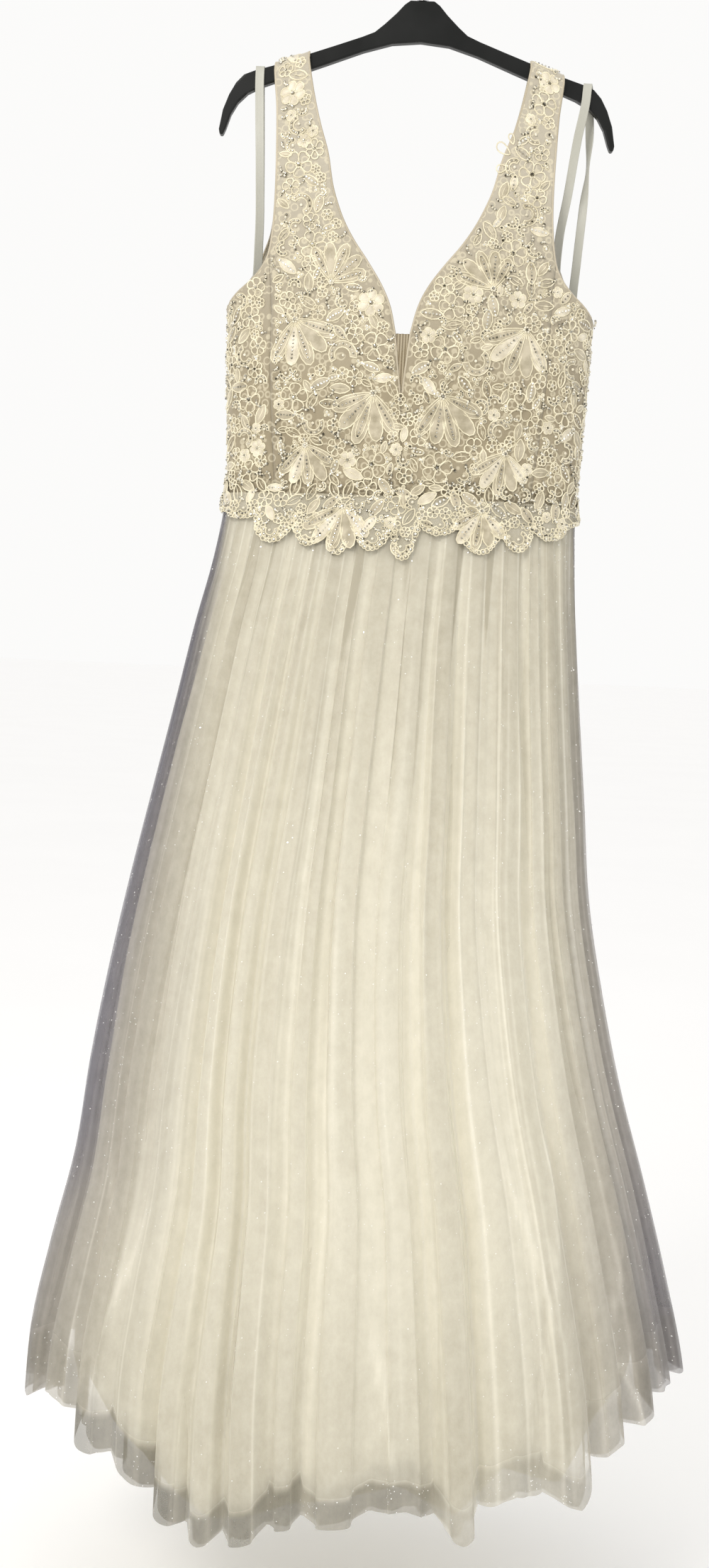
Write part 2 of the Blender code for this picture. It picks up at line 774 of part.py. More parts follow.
def back_panel(hand):
    """Back from centre back to the side seam, with its strap."""
    half = SEAM_GAP / 2
    heights = np.linspace(WAIST_Z, UNDERARM_Z, SEAM_ROWS)
    side_seam = [(hand * (side_distance(float(z), -1) - half), float(z)) for z in heights]
    arm = [half_point(p, hand, -1) for p in edge_points(BACK_ARMHOLE, -0.383, -0.150, 12)]
    neck = leaning([half_point(p, hand, -1) for p in edge_points(BACK_NECK, -0.150, BACK_V_Z, 12)])
    over_arm = shoulder_run(BACK_ARMHOLE, hand, -1)
    over_neck = shoulder_run(BACK_NECK, hand, -1)
    centre_heights = np.linspace(BACK_V_Z - BACK_V_SEAM, WAIST_Z, 10)
    centre = leaning([(hand * half, float(z)) for z in centre_heights])
    corners = centre + side_seam + arm + over_arm + over_neck[::-1] + neck
    loop = run(corners + corners[:1], EDGE_STEP)
    bends = wrap_points(over_arm, over_neck)
    motifs = motif_points(BACK_MOTIFS, hand, -1, loop, bends)
    name = "back_left" if hand < 0 else "back_right"
    return panel(name, bodice_place(-1), loop, motifs, bends=bends, lift=-PANEL_WALL)


def notch_mesh():
    """The sheer wedge that fills the bottom of the neckline."""
    top = cloth_distance(column_value(NECK, "x", NOTCH_TOP_Z), NOTCH_TOP_Z, 1) - SEAM_GAP
    corners = leaning([(-top, NOTCH_TOP_Z), (0.0, NOTCH_LOW_Z + NOTCH_SEAM), (top, NOTCH_TOP_Z)])
    loop = run(corners + corners[:1], EDGE_STEP)
    return panel("notch_mesh", bodice_place(1), loop, [], lift=-MESH_WALL - NOTCH_INSET, wall=MESH_WALL)


def back_placket():
    """Lap over the concealed closure down the centre back."""
    top = BACK_V_Z - BACK_V_SEAM - PLACKET_HALF / 2
    heights = [float(z) for z in np.linspace(top, WAIST_Z, 9)]
    left = [(-PLACKET_HALF, z) for z in heights]
    right = [(PLACKET_HALF, z) for z in heights[::-1]]
    loop = run(leaning(left + right + left[:1]), EDGE_STEP)
    return panel("back_placket", bodice_place(-1), loop, [], lift=RELIEF + SEAM_GAP, wall=PLACKET_WALL)


def border_outline(scallops, side):
    """The border's upper edge on the waist seam and its scalloped lower edge."""
    reach = side_distance(BORDER_TOP_Z, side) - SEAM_GAP
    loop = [(reach, BORDER_TOP_Z), (-reach, BORDER_TOP_Z), (-reach, BORDER_END_Z)]
    for row in scallops:
        for k in range(5):
            t = math.pi * (k + 0.5) / 5
            s = cloth_distance(row.x - row.half * math.cos(t), row.low, side)
            depth = BORDER_VALLEY_Z + (row.low - BORDER_VALLEY_Z) * math.sin(t)
            loop.append((s, depth))
    loop.append((reach, BORDER_END_Z))
    return run(loop + loop[:1], BORDER_STEP)


def border_holes(scallops, side):
    """Gaps between the lace's threads, one in each scallop and one above each valley."""
    holes = []
    spots = [(row.x, 0.5 * (row.low + BORDER_VALLEY_Z)) for row in scallops if row.low < -0.63]
    spots += [(row.x + row.half, BORDER_HOLE_Z) for row in scallops[:-1]]
    for x, z in spots:
        centre = (cloth_distance(x, z, side), z)
        holes.append([polar(centre, BORDER_HOLE, 60 * k) for k in range(6)])
    return holes


def fold_offset(folds, degrees):
    """Share of the fold depth at an angle: round crests between narrower valleys."""
    i = 0
    while i < len(folds) - 2 and degrees > folds[i + 1].start:
        i += 1
    here, after = folds[i], folds[i + 1]
    t = (degrees - here.start) / (after.start - here.start)
    low = here.valley + (after.valley - here.valley) * t
    return low + (here.crest - low) * math.sin(math.pi * t) ** CREST_ROUNDNESS


def hem_drop(folds, degrees):
    """How much lower the hem hangs, read between the middles of the folds."""
    middles = [0.5 * (here.start + after.start) for here, after in zip(folds[:-1], folds[1:])]
    return float(np.interp(degrees, middles, [row.hem for row in folds[:-1]]))


def skirt_place(degrees, z, side, out):
    """Point on the skirt's mean oval, moved out level along its normal."""
    width, depth, shift = section_at(z, side)
    angle = math.radians(degrees)
    normal = Vector((math.sin(angle) * depth, -math.cos(angle) * width, 0.0)).normalized()
    point = Vector((width * math.sin(angle) + shift, -depth * math.cos(angle), z))
    point += normal * out
    point.y *= side
    return point


def hem_height(degrees, folds):
    lift = HEM_SIDE_LIFT * math.sin(math.radians(degrees)) ** 2
    return HEM_Z + lift - hem_drop(folds, degrees)


def fold_columns(folds):
    """Column angles: every fold gets the same count, and the ends stop at the seams."""
    result = []
    for here, after in zip(folds[:-1], folds[1:]):
        for share in FOLD_COLUMNS:
            result.append(here.start + (after.start - here.start) * share)
    return result + [folds[-1].start]


def seam_trim(degrees, z, side):
    """Keep the side seams half a gap off the centre plane."""
    _, depth, _ = section_at(z, side)
    limit = 90.0 - math.degrees(SEAM_GAP / 2 / depth)
    return max(-limit, min(limit, degrees))


def tulle_half(name, folds, side):
    """Half of the outer skirt, gathered at the waist and folded down to the hem."""
    outer, inner = [], []
    top = WAIST_Z - SEAM_GAP
    for share in SKIRT_ROWS:
        outer_row, inner_row = [], []
        for degrees in fold_columns(folds):
            z = top + (hem_height(degrees, folds) - top) * share
            opening = FOLD_DEPTH * column_value(OPENINGS, "share", z)
            out = opening * fold_offset(folds, degrees)
            angle = seam_trim(degrees, z, side)
            outer_row.append(skirt_place(angle, z, side, out))
            inner_row.append(skirt_place(angle, z, side, out - TULLE_WALL))
        outer.append(outer_row)
        inner.append(inner_row)
    return wall_grid(name, outer, inner)


def lining_half(name, folds, side):
    """Half of the lining, a plainer and narrower skirt inside the tulle."""
    outer, inner = [], []
    top = WAIST_Z - SEAM_GAP - 0.0005
    for share in SKIRT_ROWS:
        outer_row, inner_row = [], []
        for k in range(LINING_COLUMNS + 1):
            degrees = -90.0 + 180.0 * k / LINING_COLUMNS
            low = hem_height(degrees, folds) + LINING_SHORTER
            z = top + (low - top) * share
            opening = column_value(OPENINGS, "share", z)
            wave = LINING_WAVE * opening * math.cos(2 * math.pi * LINING_WAVES * k / LINING_COLUMNS)
            inset = (FOLD_DEPTH + LINING_ROOM + LINING_WAVE) * opening + TULLE_WALL + 2 * SEAM_GAP
            inset += LINING_SIDE_ROOM * (opening * math.sin(math.radians(degrees))) ** 4
            angle = seam_trim(degrees, z, side)
            outer_row.append(skirt_place(angle, z, side, wave - inset))
            inner_row.append(skirt_place(angle, z, side, wave - inset - LINING_WALL))
        outer.append(outer_row)
        inner.append(inner_row)
    return wall_grid(name, outer, inner)


def border_place(side):
    """The border lies just outside the gathers at the top of the tulle."""
    def place(s, z, out):
        width, depth, _ = section_at(BORDER_TOP_Z, side)
        lengths = arc_lengths(width, depth)
        angle = math.copysign(float(np.interp(abs(s), lengths, ANGLES)), s)
        crest = FOLD_DEPTH * column_value(OPENINGS, "share", z) * 1.1
        round_side = BORDER_SIDE_LIFT * math.sin(angle) ** 8
        return skirt_place(math.degrees(angle), z, side, crest + round_side + out)

    return place


def lace_border(name, scallops, side):
    loop = border_outline(scallops, side)
    holes = border_holes(scallops, side)
    steps = (BORDER_STEP, BORDER_STEP)
    return panel(name, border_place(side), loop, [], holes, steps=steps, lift=BORDER_LIFT, wall=BORDER_WALL)


def ribbon_loop(name, strands):
    """A flat ribbon along its strand points, turned about its own length."""
    points = [Vector((row.x, row.y, row.z)) for row in strands]
    build = bmesh.new()
    rings = []
    for k, row in enumerate(strands):
        along = (points[min(k + 1, len(points) - 1)] - points[max(k - 1, 0)]).normalized()
        across = Vector((1.0, 0.0, 0.0))
        across = (across - along * across.dot(along)).normalized()
        face = along.cross(across)
        turn = math.radians(row.turn)
        wide = (across * math.cos(turn) + face * math.sin(turn)) * RIBBON_HALF_WIDTH
        thick = (face * math.cos(turn) - across * math.sin(turn)) * RIBBON_HALF_THICK
        corners = (wide + thick, thick - wide, -wide - thick, wide - thick)
        rings.append([build.verts.new(points[k] + corner) for corner in corners])
    for first, second in zip(rings[:-1], rings[1:]):
        for i in range(4):
            j = (i + 1) % 4
            build.faces.new((first[i], first[j], second[j], second[i]))
    build.faces.new(rings[0][::-1])
    build.faces.new(rings[-1])
    return finish_mesh(name, build)


def hanger_body():
    """Arms and neck as one flat outline with rounded edges."""
    right = [(row.x, row.z) for row in HANGER_TOP + HANGER_LOW]
    left = [(-x, z) for x, z in right[::-1] if x > 0]
    outline = bpy.data.curves.new("hanger_outline", "CURVE")
    outline.dimensions = "2D"
    outline.fill_mode = "BOTH"
    spline = outline.splines.new("POLY")
    spline.points.add(len(right + left) - 1)
    for spot, (x, z) in zip(spline.points, right + left):
        spot.co = (x, z, 0.0, 1.0)
    spline.use_cyclic_u = True
    outline.extrude = HANGER_HALF_THICK
    guide = bpy.data.objects.new("hanger_outline", outline)
    bpy.context.scene.collection.objects.link(guide)
    mesh = bpy.data.meshes.new_from_object(guide.evaluated_get(bpy.context.evaluated_depsgraph_get()))
    bpy.data.objects.remove(guide, do_unlink=True)
    weld(mesh)
    item = bpy.data.objects.new("hanger_body", mesh)
    item.rotation_euler = (math.pi / 2, 0.0, 0.0)
    rounding = item.modifiers.new("rounding", "BEVEL")
    rounding.width = HANGER_EDGE
    rounding.segments = 2
    rounding.limit_method = "ANGLE"
    rounding.angle_limit = math.radians(60)
    return item


def weld(mesh):
    """Join the caps to the sides and face everything outwards."""
    build = bmesh.new()
    build.from_mesh(mesh)
    bmesh.ops.remove_doubles(build, verts=build.verts[:], dist=0.00001)
    bmesh.ops.recalc_face_normals(build, faces=build.faces[:])
    build.to_mesh(mesh)
    build.free()


def hook_route():
    """The hook's centre line: round from its open end, then down to the neck."""
    radius = HOOK_INSIDE + HOOK_WIRE
    middle = Vector((0.0, 0.0, -HOOK_INSIDE))
    points = []
    for k in range(19):
        angle = math.radians(200 - 13 * k)
        points.append(middle + Vector((math.cos(angle), 0.0, math.sin(angle))) * radius)
    bend_start = points[-1]
    heading = (points[-1] - points[-2]).normalized()
    stem_top = Vector((0.0, 0.0, -0.050))
    for k in range(1, 7):
        t = k / 6
        first = bend_start + heading * 0.010 * 3 * t
        last = stem_top + Vector((0.0, 0.0, 0.010 * 3 * (1 - t)))
        share = t * t * (3 - 2 * t)
        points.append(first.lerp(last, share) if t < 1 else stem_top.copy())
    points.append(Vector((0.0, 0.0, NECK_TOP_Z + COLLAR_HEIGHT + 2 * SEAM_GAP)))
    return points


def hook():
    """Bent wire hook, open on one side."""
    wire = bpy.data.curves.new("hook", "CURVE")
    wire.dimensions = "3D"
    spline = wire.splines.new("POLY")
    route = hook_route()
    spline.points.add(len(route) - 1)
    for spot, point in zip(spline.points, route):
        spot.co = (*point, 1.0)
    wire.bevel_depth = HOOK_WIRE
    wire.bevel_resolution = 2
    wire.use_fill_caps = True
    return bpy.data.objects.new("hook", wire)


def hook_collar():
    """Turned collar between the hook and the neck."""
    profile = [
        (0.0, COLLAR_HEIGHT),
        (COLLAR_RADIUS * 0.7, COLLAR_HEIGHT),
        (COLLAR_RADIUS, COLLAR_HEIGHT * 0.7),
        (COLLAR_RADIUS, 0.0),
        (0.0, 0.0),
    ]
    mesh = bpy.data.meshes.new("hook_collar")
    edges = [(k, k + 1) for k in range(len(profile) - 1)]
    mesh.from_pydata([(x, 0.0, z) for x, z in profile], edges, [])
    item = bpy.data.objects.new("hook_collar", mesh)
    item.location = (0.0, 0.0, NECK_TOP_Z + SEAM_GAP)
    turn = item.modifiers.new("turn", "SCREW")
    turn.steps = 20
    turn.render_steps = 20
    turn.use_merge_vertices = True
    turn.merge_threshold = 0.0001
    return item


def build_dress(group):
    lace = new_material("bodice_lace", (0.60, 0.54, 0.42), 0.75)
    sheer = new_material("notch_tulle", (0.44, 0.37, 0.24), 0.80)
    tulle = new_material("skirt_tulle", (0.50, 0.48, 0.44), 0.85)
    satin = new_material("skirt_lining", (0.78, 0.74, 0.62), 0.55)
    for hand in (-1, 1):
        add(group, front_panel(hand), lace)
        add(group, side_panel(hand), lace)
        add(group, back_panel(hand), lace)
    add(group, notch_mesh(), sheer)
    add(group, back_placket(), lace)
    add(group, lace_border("border_front", FRONT_SCALLOPS, 1), lace)
    add(group, lace_border("border_back", BACK_SCALLOPS, -1), lace)
    add(group, tulle_half("skirt_front", FRONT_FOLDS, 1), tulle)
    add(group, tulle_half("skirt_back", BACK_FOLDS, -1), tulle)
    add(group, lining_half("lining_front", FRONT_FOLDS, 1), satin)
    add(group, lining_half("lining_back", BACK_FOLDS, -1), satin)


def build_hanger(group):
    black = new_material("hanger_black", (0.006, 0.007, 0.007), 0.35)
    steel = new_material("hook_steel", (0.62, 0.62, 0.63), 0.25, 1.0)
    ribbon = new_material("ribbon_satin", (0.64, 0.62, 0.52), 0.45)
    add(group, hanger_body(), black)
    add(group, hook_collar(), steel)
    add(group, hook(), steel)
    add(group, ribbon_loop("ribbon_left", LEFT_LOOP), ribbon)
    add(group, ribbon_loop("ribbon_right", RIGHT_LOOP), ribbon)


def main():
    clear_scene()
    group = new_collection("wedding_dress_on_hanger")
    build_dress(group)
    build_hanger(group)


main()
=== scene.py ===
# Looks of the wedding dress: cloth shells, lace, beads, glitter, hanger finish, light and camera.
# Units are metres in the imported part's frame: +Z is up, the dress's front faces -Y.

import math
import random
from collections import namedtuple

import bpy
import numpy as np
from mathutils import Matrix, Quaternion, Vector


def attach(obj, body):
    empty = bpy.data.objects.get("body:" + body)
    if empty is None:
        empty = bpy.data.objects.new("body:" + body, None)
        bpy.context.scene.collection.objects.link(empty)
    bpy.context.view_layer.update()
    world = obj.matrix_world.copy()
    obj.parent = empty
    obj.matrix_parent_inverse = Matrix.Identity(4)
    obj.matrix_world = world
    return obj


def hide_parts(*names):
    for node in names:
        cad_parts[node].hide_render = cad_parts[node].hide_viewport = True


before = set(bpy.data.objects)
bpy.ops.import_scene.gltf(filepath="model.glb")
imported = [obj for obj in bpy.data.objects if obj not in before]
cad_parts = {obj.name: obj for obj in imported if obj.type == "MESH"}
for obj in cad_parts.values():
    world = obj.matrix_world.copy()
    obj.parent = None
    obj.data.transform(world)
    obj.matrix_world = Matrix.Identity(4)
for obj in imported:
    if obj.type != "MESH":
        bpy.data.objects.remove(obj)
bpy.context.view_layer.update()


def rows_of(kind, values):
    """A table with named columns."""
    return tuple(kind(*row) for row in values)


# Camera: where it stands, how far it looks down, its roll and its focal length
CAMERA_PLACE = (-0.035, -1.95, -0.735)
CAMERA_DOWN = 4.5
CAMERA_ROLL = 2.565
CAMERA_LENS = 41.2
CAMERA_SENSOR = 36.0

# Driving sizes, the same as in the part's source
SEAM_GAP = 0.0003
PANEL_WALL = 0.0016
SHOULDER_Z = -0.1333
UNDERARM_Z = -0.386
NOTCH_TOP_Z = -0.416
NOTCH_LOW_Z = -0.479
NOTCH_TIP_HALF = 0.0008
NOTCH_SEAM = 0.006
BACK_V_Z = -0.412
BACK_V_SEAM = 0.003
PLACKET_HALF = 0.008
PLACKET_LIFT = 0.0017
PLACKET_WALL = 0.0012
WAIST_Z = -0.585
HEM_Z = -1.592
HEM_SIDE_LIFT = 0.047
FOLD_DEPTH = 0.018
LINING_SHORTER = 0.008
LINING_ROOM = 0.0022
LINING_SIDE_ROOM = 0.024
LINING_WALL = 0.0007
LINING_WAVE = 0.0025
LINING_WAVES = 7
TULLE_WALL = 0.0012
WRAP_RADIUS = 0.0108
ARM_SLOPE = 0.365
STRAP_MIDDLE = 0.137
STRAP_LEVEL_Z = -0.24
BORDER_TOP_Z = WAIST_Z - SEAM_GAP
BORDER_VALLEY_Z = -0.602
BORDER_END_Z = -0.596
BORDER_SIDE_LIFT = 0.0012
BORDER_OUT = 0.0020
HIGHEST_CREST = 1.1
RIBBON_HALF_WIDTH = 0.0046
RIBBON_HALF_THICK = 0.00028
RIBBON_SELVEDGE = 0.00042
RIBBON_STEPS = 150

# The cloth's sections: an oval at each height, deeper in front than behind
Section = namedtuple("Section", "z half_width front back shift")
SECTIONS = rows_of(Section, (
    (-0.120, 0.430, 0.0108, 0.0108, 0.000), (-0.150, 0.400, 0.0140, 0.0130, 0.000),
    (-0.200, 0.330, 0.0250, 0.0200, 0.000), (-0.280, 0.265, 0.0420, 0.0330, 0.000),
    (-0.340, 0.221, 0.0560, 0.0430, 0.001), (-0.386, 0.197, 0.0670, 0.0500, 0.002),
    (-0.430, 0.194, 0.0740, 0.0540, 0.002), (-0.480, 0.192, 0.0740, 0.0550, 0.002),
    (-0.530, 0.190, 0.0690, 0.0550, 0.002), (-0.585, 0.188, 0.0660, 0.0560, 0.001),
    (-0.650, 0.193, 0.0840, 0.0740, -0.003), (-0.720, 0.203, 0.1050, 0.0960, -0.009),
    (-0.800, 0.214, 0.1260, 0.1170, -0.014), (-0.900, 0.229, 0.1480, 0.1390, -0.020),
    (-1.000, 0.244, 0.1660, 0.1570, -0.026), (-1.100, 0.263, 0.1810, 0.1730, -0.026),
    (-1.200, 0.283, 0.1950, 0.1880, -0.022), (-1.300, 0.304, 0.2080, 0.2020, -0.013),
    (-1.400, 0.329, 0.2210, 0.2160, -0.010), (-1.500, 0.350, 0.2350, 0.2300, -0.007),
    (-1.640, 0.360, 0.2520, 0.2470, -0.001),
))

# How far the folds have opened at each height, as a share of their hem depth
Opening = namedtuple("Opening", "z share")
OPENINGS = rows_of(Opening, (
    (-0.585, 0.07), (-0.650, 0.20), (-0.720, 0.32), (-0.800, 0.42), (-0.950, 0.54), (-1.200, 0.70),
    (-1.400, 0.86), (-1.640, 1.00),
))

# Half width of the neck and armhole edges at each height
Edge = namedtuple("Edge", "z x")
NECK = rows_of(Edge, (
    (-0.120, 0.119), (-0.140, 0.116), (-0.170, 0.110), (-0.200, 0.102), (-0.230, 0.091),
    (-0.260, 0.084), (-0.280, 0.077), (-0.300, 0.068), (-0.320, 0.056), (-0.342, 0.040),
    (-0.365, 0.025), (-0.387, 0.015), (-0.416, 0.008),
))
BACK_NECK = rows_of(Edge, (
    (-0.120, 0.119), (-0.140, 0.116), (-0.170, 0.110), (-0.200, 0.102), (-0.240, 0.090),
    (-0.280, 0.076), (-0.310, 0.060), (-0.340, 0.041), (-0.370, 0.023), (-0.395, 0.011),
    (-0.412, 0.005),
))
ARMHOLE = rows_of(Edge, (
    (-0.120, 0.153), (-0.145, 0.151), (-0.175, 0.148), (-0.220, 0.146), (-0.265, 0.145),
    (-0.300, 0.146), (-0.332, 0.150), (-0.348, 0.157), (-0.362, 0.169), (-0.374, 0.184),
    (-0.386, 0.196),
))
BACK_ARMHOLE = rows_of(Edge, (
    (-0.120, 0.153), (-0.160, 0.149), (-0.220, 0.147), (-0.270, 0.148), (-0.300, 0.152),
    (-0.320, 0.159), (-0.340, 0.167), (-0.356, 0.177), (-0.372, 0.188), (-0.386, 0.195),
))
PRINCESS = rows_of(Edge, (
    (-0.332, 0.150), (-0.400, 0.146), (-0.450, 0.145), (-0.510, 0.141), (-0.585, 0.134),
))
LEANS = rows_of(Edge, (
    (-0.200, 0.000), (-0.260, -0.002), (-0.320, -0.005), (-0.380, -0.008), (-0.480, -0.007),
    (-0.585, 0.000),
))

# Skirt folds from the left side seam round the front or the back
Fold = namedtuple("Fold", "start valley crest hem")
FRONT_FOLDS = rows_of(Fold, (
    (-90.0, -0.10, 0.55, 0.000), (-79.0, -0.45, 0.95, 0.006), (-68.0, -1.00, 0.80, -0.026),
    (-55.0, -0.70, 1.10, 0.002), (-45.0, -0.15, 0.45, 0.010), (-35.0, -1.00, 0.75, 0.036),
    (-28.5, -0.55, 0.60, 0.048), (-22.5, -0.75, 0.85, 0.034), (-14.0, -0.10, 0.50, 0.012),
    (-8.2, -0.60, 0.75, 0.004), (2.3, -0.05, 0.40, -0.012), (12.9, -0.85, 0.90, 0.022),
    (21.4, -0.95, 0.55, -0.014), (31.9, 0.05, 0.75, 0.018), (44.6, -0.90, 0.65, -0.024),
    (53.0, -0.35, 0.95, -0.036), (62.0, -1.00, 0.70, -0.048), (72.0, -0.50, 0.95, -0.046),
    (81.5, -0.40, 0.55, -0.034), (90.0, -0.10, 0.55, 0.000),
))
BACK_FOLDS = rows_of(Fold, (
    (-90.0, -0.10, 0.60, -0.020), (-79.0, -0.60, 0.90, -0.008), (-68.0, -0.35, 0.55, 0.004),
    (-57.0, -0.95, 1.05, 0.012), (-43.0, -0.50, 0.50, 0.006), (-34.0, -0.85, 0.80, 0.016),
    (-24.5, -0.15, 0.45, 0.020), (-16.0, -0.95, 0.95, 0.012), (-5.5, -0.30, 0.60, 0.014),
    (4.0, -0.80, 1.00, 0.012), (14.5, -0.45, 0.50, 0.018), (23.0, -1.00, 0.85, 0.008),
    (35.5, -0.20, 0.60, 0.012), (46.0, -0.75, 1.00, -0.002), (58.5, -0.50, 0.70, -0.010),
    (69.0, -0.85, 0.80, -0.018), (80.0, -0.45, 0.60, -0.026), (90.0, -0.10, 0.60, -0.020),
))

# Scallops of the lace border below the waist: middle, half width and lowest point
Scallop = namedtuple("Scallop", "x half low")
FRONT_SCALLOPS = rows_of(Scallop, (
    (-0.163, 0.014, -0.609), (-0.128, 0.020, -0.634), (-0.090, 0.017, -0.636),
    (-0.060, 0.012, -0.645), (-0.027, 0.020, -0.639), (0.006, 0.012, -0.648),
    (0.040, 0.021, -0.620), (0.083, 0.021, -0.638), (0.121, 0.016, -0.633), (0.155, 0.017, -0.619),
))
BACK_SCALLOPS = rows_of(Scallop, (
    (-0.160, 0.015, -0.612), (-0.124, 0.019, -0.631), (-0.086, 0.018, -0.640),
    (-0.048, 0.018, -0.633), (-0.012, 0.017, -0.645), (0.025, 0.018, -0.636),
    (0.063, 0.019, -0.643), (0.103, 0.020, -0.630), (0.144, 0.019, -0.618),
))

# Large lace motifs: kind, distance from the centre line, height, size, direction
Motif = namedtuple("Motif", "kind x z size angle")
FRONT_MOTIFS = rows_of(Motif, (
    ("flower", 0.132, -0.165, 0.013, 20), ("curl", 0.124, -0.200, 0.011, 80),
    ("flower", 0.122, -0.240, 0.014, 50), ("curl", 0.118, -0.282, 0.013, 250),
    ("flower", 0.104, -0.325, 0.015, 10), ("fan", 0.084, -0.364, 0.044, 112),
    ("flower", 0.042, -0.385, 0.014, 35), ("fan", 0.120, -0.404, 0.052, 248),
    ("flower", 0.036, -0.430, 0.015, 60), ("curl", 0.070, -0.440, 0.016, 190),
    ("fan", 0.036, -0.478, 0.052, 288), ("flower", 0.118, -0.484, 0.015, 25),
    ("curl", 0.096, -0.510, 0.013, 20), ("flower", 0.034, -0.550, 0.016, 75),
    ("fan", 0.104, -0.532, 0.044, 262), ("flower", 0.168, -0.400, 0.012, 15),
    ("curl", 0.172, -0.440, 0.012, 70), ("flower", 0.166, -0.485, 0.014, 40),
    ("curl", 0.170, -0.525, 0.012, 240), ("flower", 0.162, -0.560, 0.012, 5),
))
BACK_MOTIFS = rows_of(Motif, (
    ("flower", 0.130, -0.175, 0.013, 40), ("curl", 0.123, -0.220, 0.012, 260),
    ("flower", 0.115, -0.270, 0.014, 10), ("curl", 0.106, -0.315, 0.013, 60),
    ("fan", 0.092, -0.352, 0.040, 255), ("flower", 0.046, -0.385, 0.014, 20),
    ("flower", 0.140, -0.390, 0.015, 50), ("curl", 0.060, -0.428, 0.015, 150),
    ("fan", 0.128, -0.425, 0.038, 275), ("flower", 0.088, -0.465, 0.016, 35),
    ("flower", 0.036, -0.485, 0.015, 65), ("fan", 0.062, -0.515, 0.038, 265),
    ("curl", 0.118, -0.515, 0.014, 330), ("flower", 0.150, -0.530, 0.014, 15),
    ("flower", 0.110, -0.558, 0.013, 45),
))

# Ribbon hanger loops: where each strand runs, with the ribbon's face direction
Strand = namedtuple("Strand", "x y z turn")
LEFT_LOOP = rows_of(Strand, (
    (-0.1795, -0.0040, -0.4150, 20), (-0.1650, -0.0050, -0.3700, 10),
    (-0.1620, -0.0066, -0.3100, 5), (-0.1640, -0.0074, -0.2400, 0), (-0.1670, -0.0078, -0.1750, 0),
    (-0.1680, -0.0078, -0.1480, 0), (-0.1680, -0.0069, -0.1385, 0), (-0.1680, -0.0053, -0.1345, 0),
    (-0.1680, 0.0000, -0.1334, 0), (-0.1680, 0.0053, -0.1345, 0), (-0.1680, 0.0069, -0.1385, 0),
    (-0.1680, 0.0078, -0.1480, 0), (-0.1670, 0.0078, -0.1750, 0), (-0.1645, 0.0074, -0.2400, 0),
    (-0.1630, 0.0066, -0.3100, -5), (-0.1660, 0.0050, -0.3700, -10),
    (-0.1800, 0.0040, -0.4150, -20),
))
RIGHT_LOOP = rows_of(Strand, (
    (0.1795, -0.0040, -0.4150, -20), (0.1560, -0.0055, -0.3500, -10),
    (0.1560, -0.0066, -0.3000, -8), (0.1625, -0.0074, -0.2550, -5), (0.1700, -0.0078, -0.1950, 0),
    (0.1768, -0.0080, -0.1530, 0), (0.1775, -0.0070, -0.1415, 0), (0.1780, -0.0055, -0.1378, 0),
    (0.1785, 0.0000, -0.1364, 0), (0.1798, 0.0053, -0.1374, 0), (0.1805, 0.0069, -0.1410, 0),
    (0.1815, 0.0078, -0.1530, 0), (0.1840, 0.0080, -0.1850, 25), (0.1840, 0.0085, -0.2200, 75),
    (0.1815, 0.0085, -0.2600, 25), (0.1775, 0.0078, -0.3200, 5), (0.1750, 0.0060, -0.3650, 0),
    (0.1800, 0.0040, -0.4150, 0),
))

# Creases, listed one by one: where each starts and ends, how far it slants and how wide it is in degrees,
# and how deep in metres
Crease = namedtuple("Crease", "angle top low slant width depth")
FRONT_CREASES = rows_of(Crease, (
    (-62.0, -0.72, -1.20, -3.0, 1.1, 0.0030), (-49.0, -0.66, -1.34, 4.0, 0.9, -0.0028),
    (-40.0, -0.64, -1.08, -2.0, 0.8, 0.0026), (-31.0, -0.63, -1.52, 1.5, 0.7, 0.0034),
    (-25.0, -0.64, -0.98, -1.0, 0.6, -0.0026), (-18.0, -0.66, -1.45, 2.0, 0.8, 0.0030),
    (-11.0, -0.64, -1.16, -1.5, 0.7, -0.0030), (-4.0, -0.65, -1.56, 1.0, 0.8, 0.0032),
    (4.5, -0.64, -0.94, 2.0, 0.6, -0.0032), (8.0, -0.70, -1.38, -2.0, 0.9, 0.0028),
    (16.0, -0.64, -1.18, 1.0, 0.7, -0.0034), (25.0, -0.66, -1.50, -2.5, 0.8, 0.0030),
    (34.0, -0.64, -1.02, 1.5, 0.7, -0.0026), (41.0, -0.74, -1.30, 3.5, 1.0, 0.0030),
    (56.0, -0.70, -1.40, -3.0, 1.0, -0.0026), (67.0, -0.80, -1.46, 2.0, 1.2, 0.0030),
    (30.0, -1.22, -1.50, 9.0, 0.9, 0.0036), (44.0, -1.18, -1.44, -8.0, 0.8, 0.0034),
    (36.0, -1.36, -1.58, -7.0, 0.8, -0.0034), (50.0, -1.38, -1.60, 8.0, 0.9, 0.0036),
    (58.0, -1.30, -1.52, -9.0, 0.9, 0.0030), (-58.0, -1.24, -1.50, 7.0, 0.9, 0.0028),
    (-44.0, -1.30, -1.56, -5.0, 0.8, 0.0026), (2.0, -1.40, -1.58, 5.0, 0.8, 0.0030),
    (-20.0, -1.34, -1.58, -4.0, 0.7, -0.0026),
))
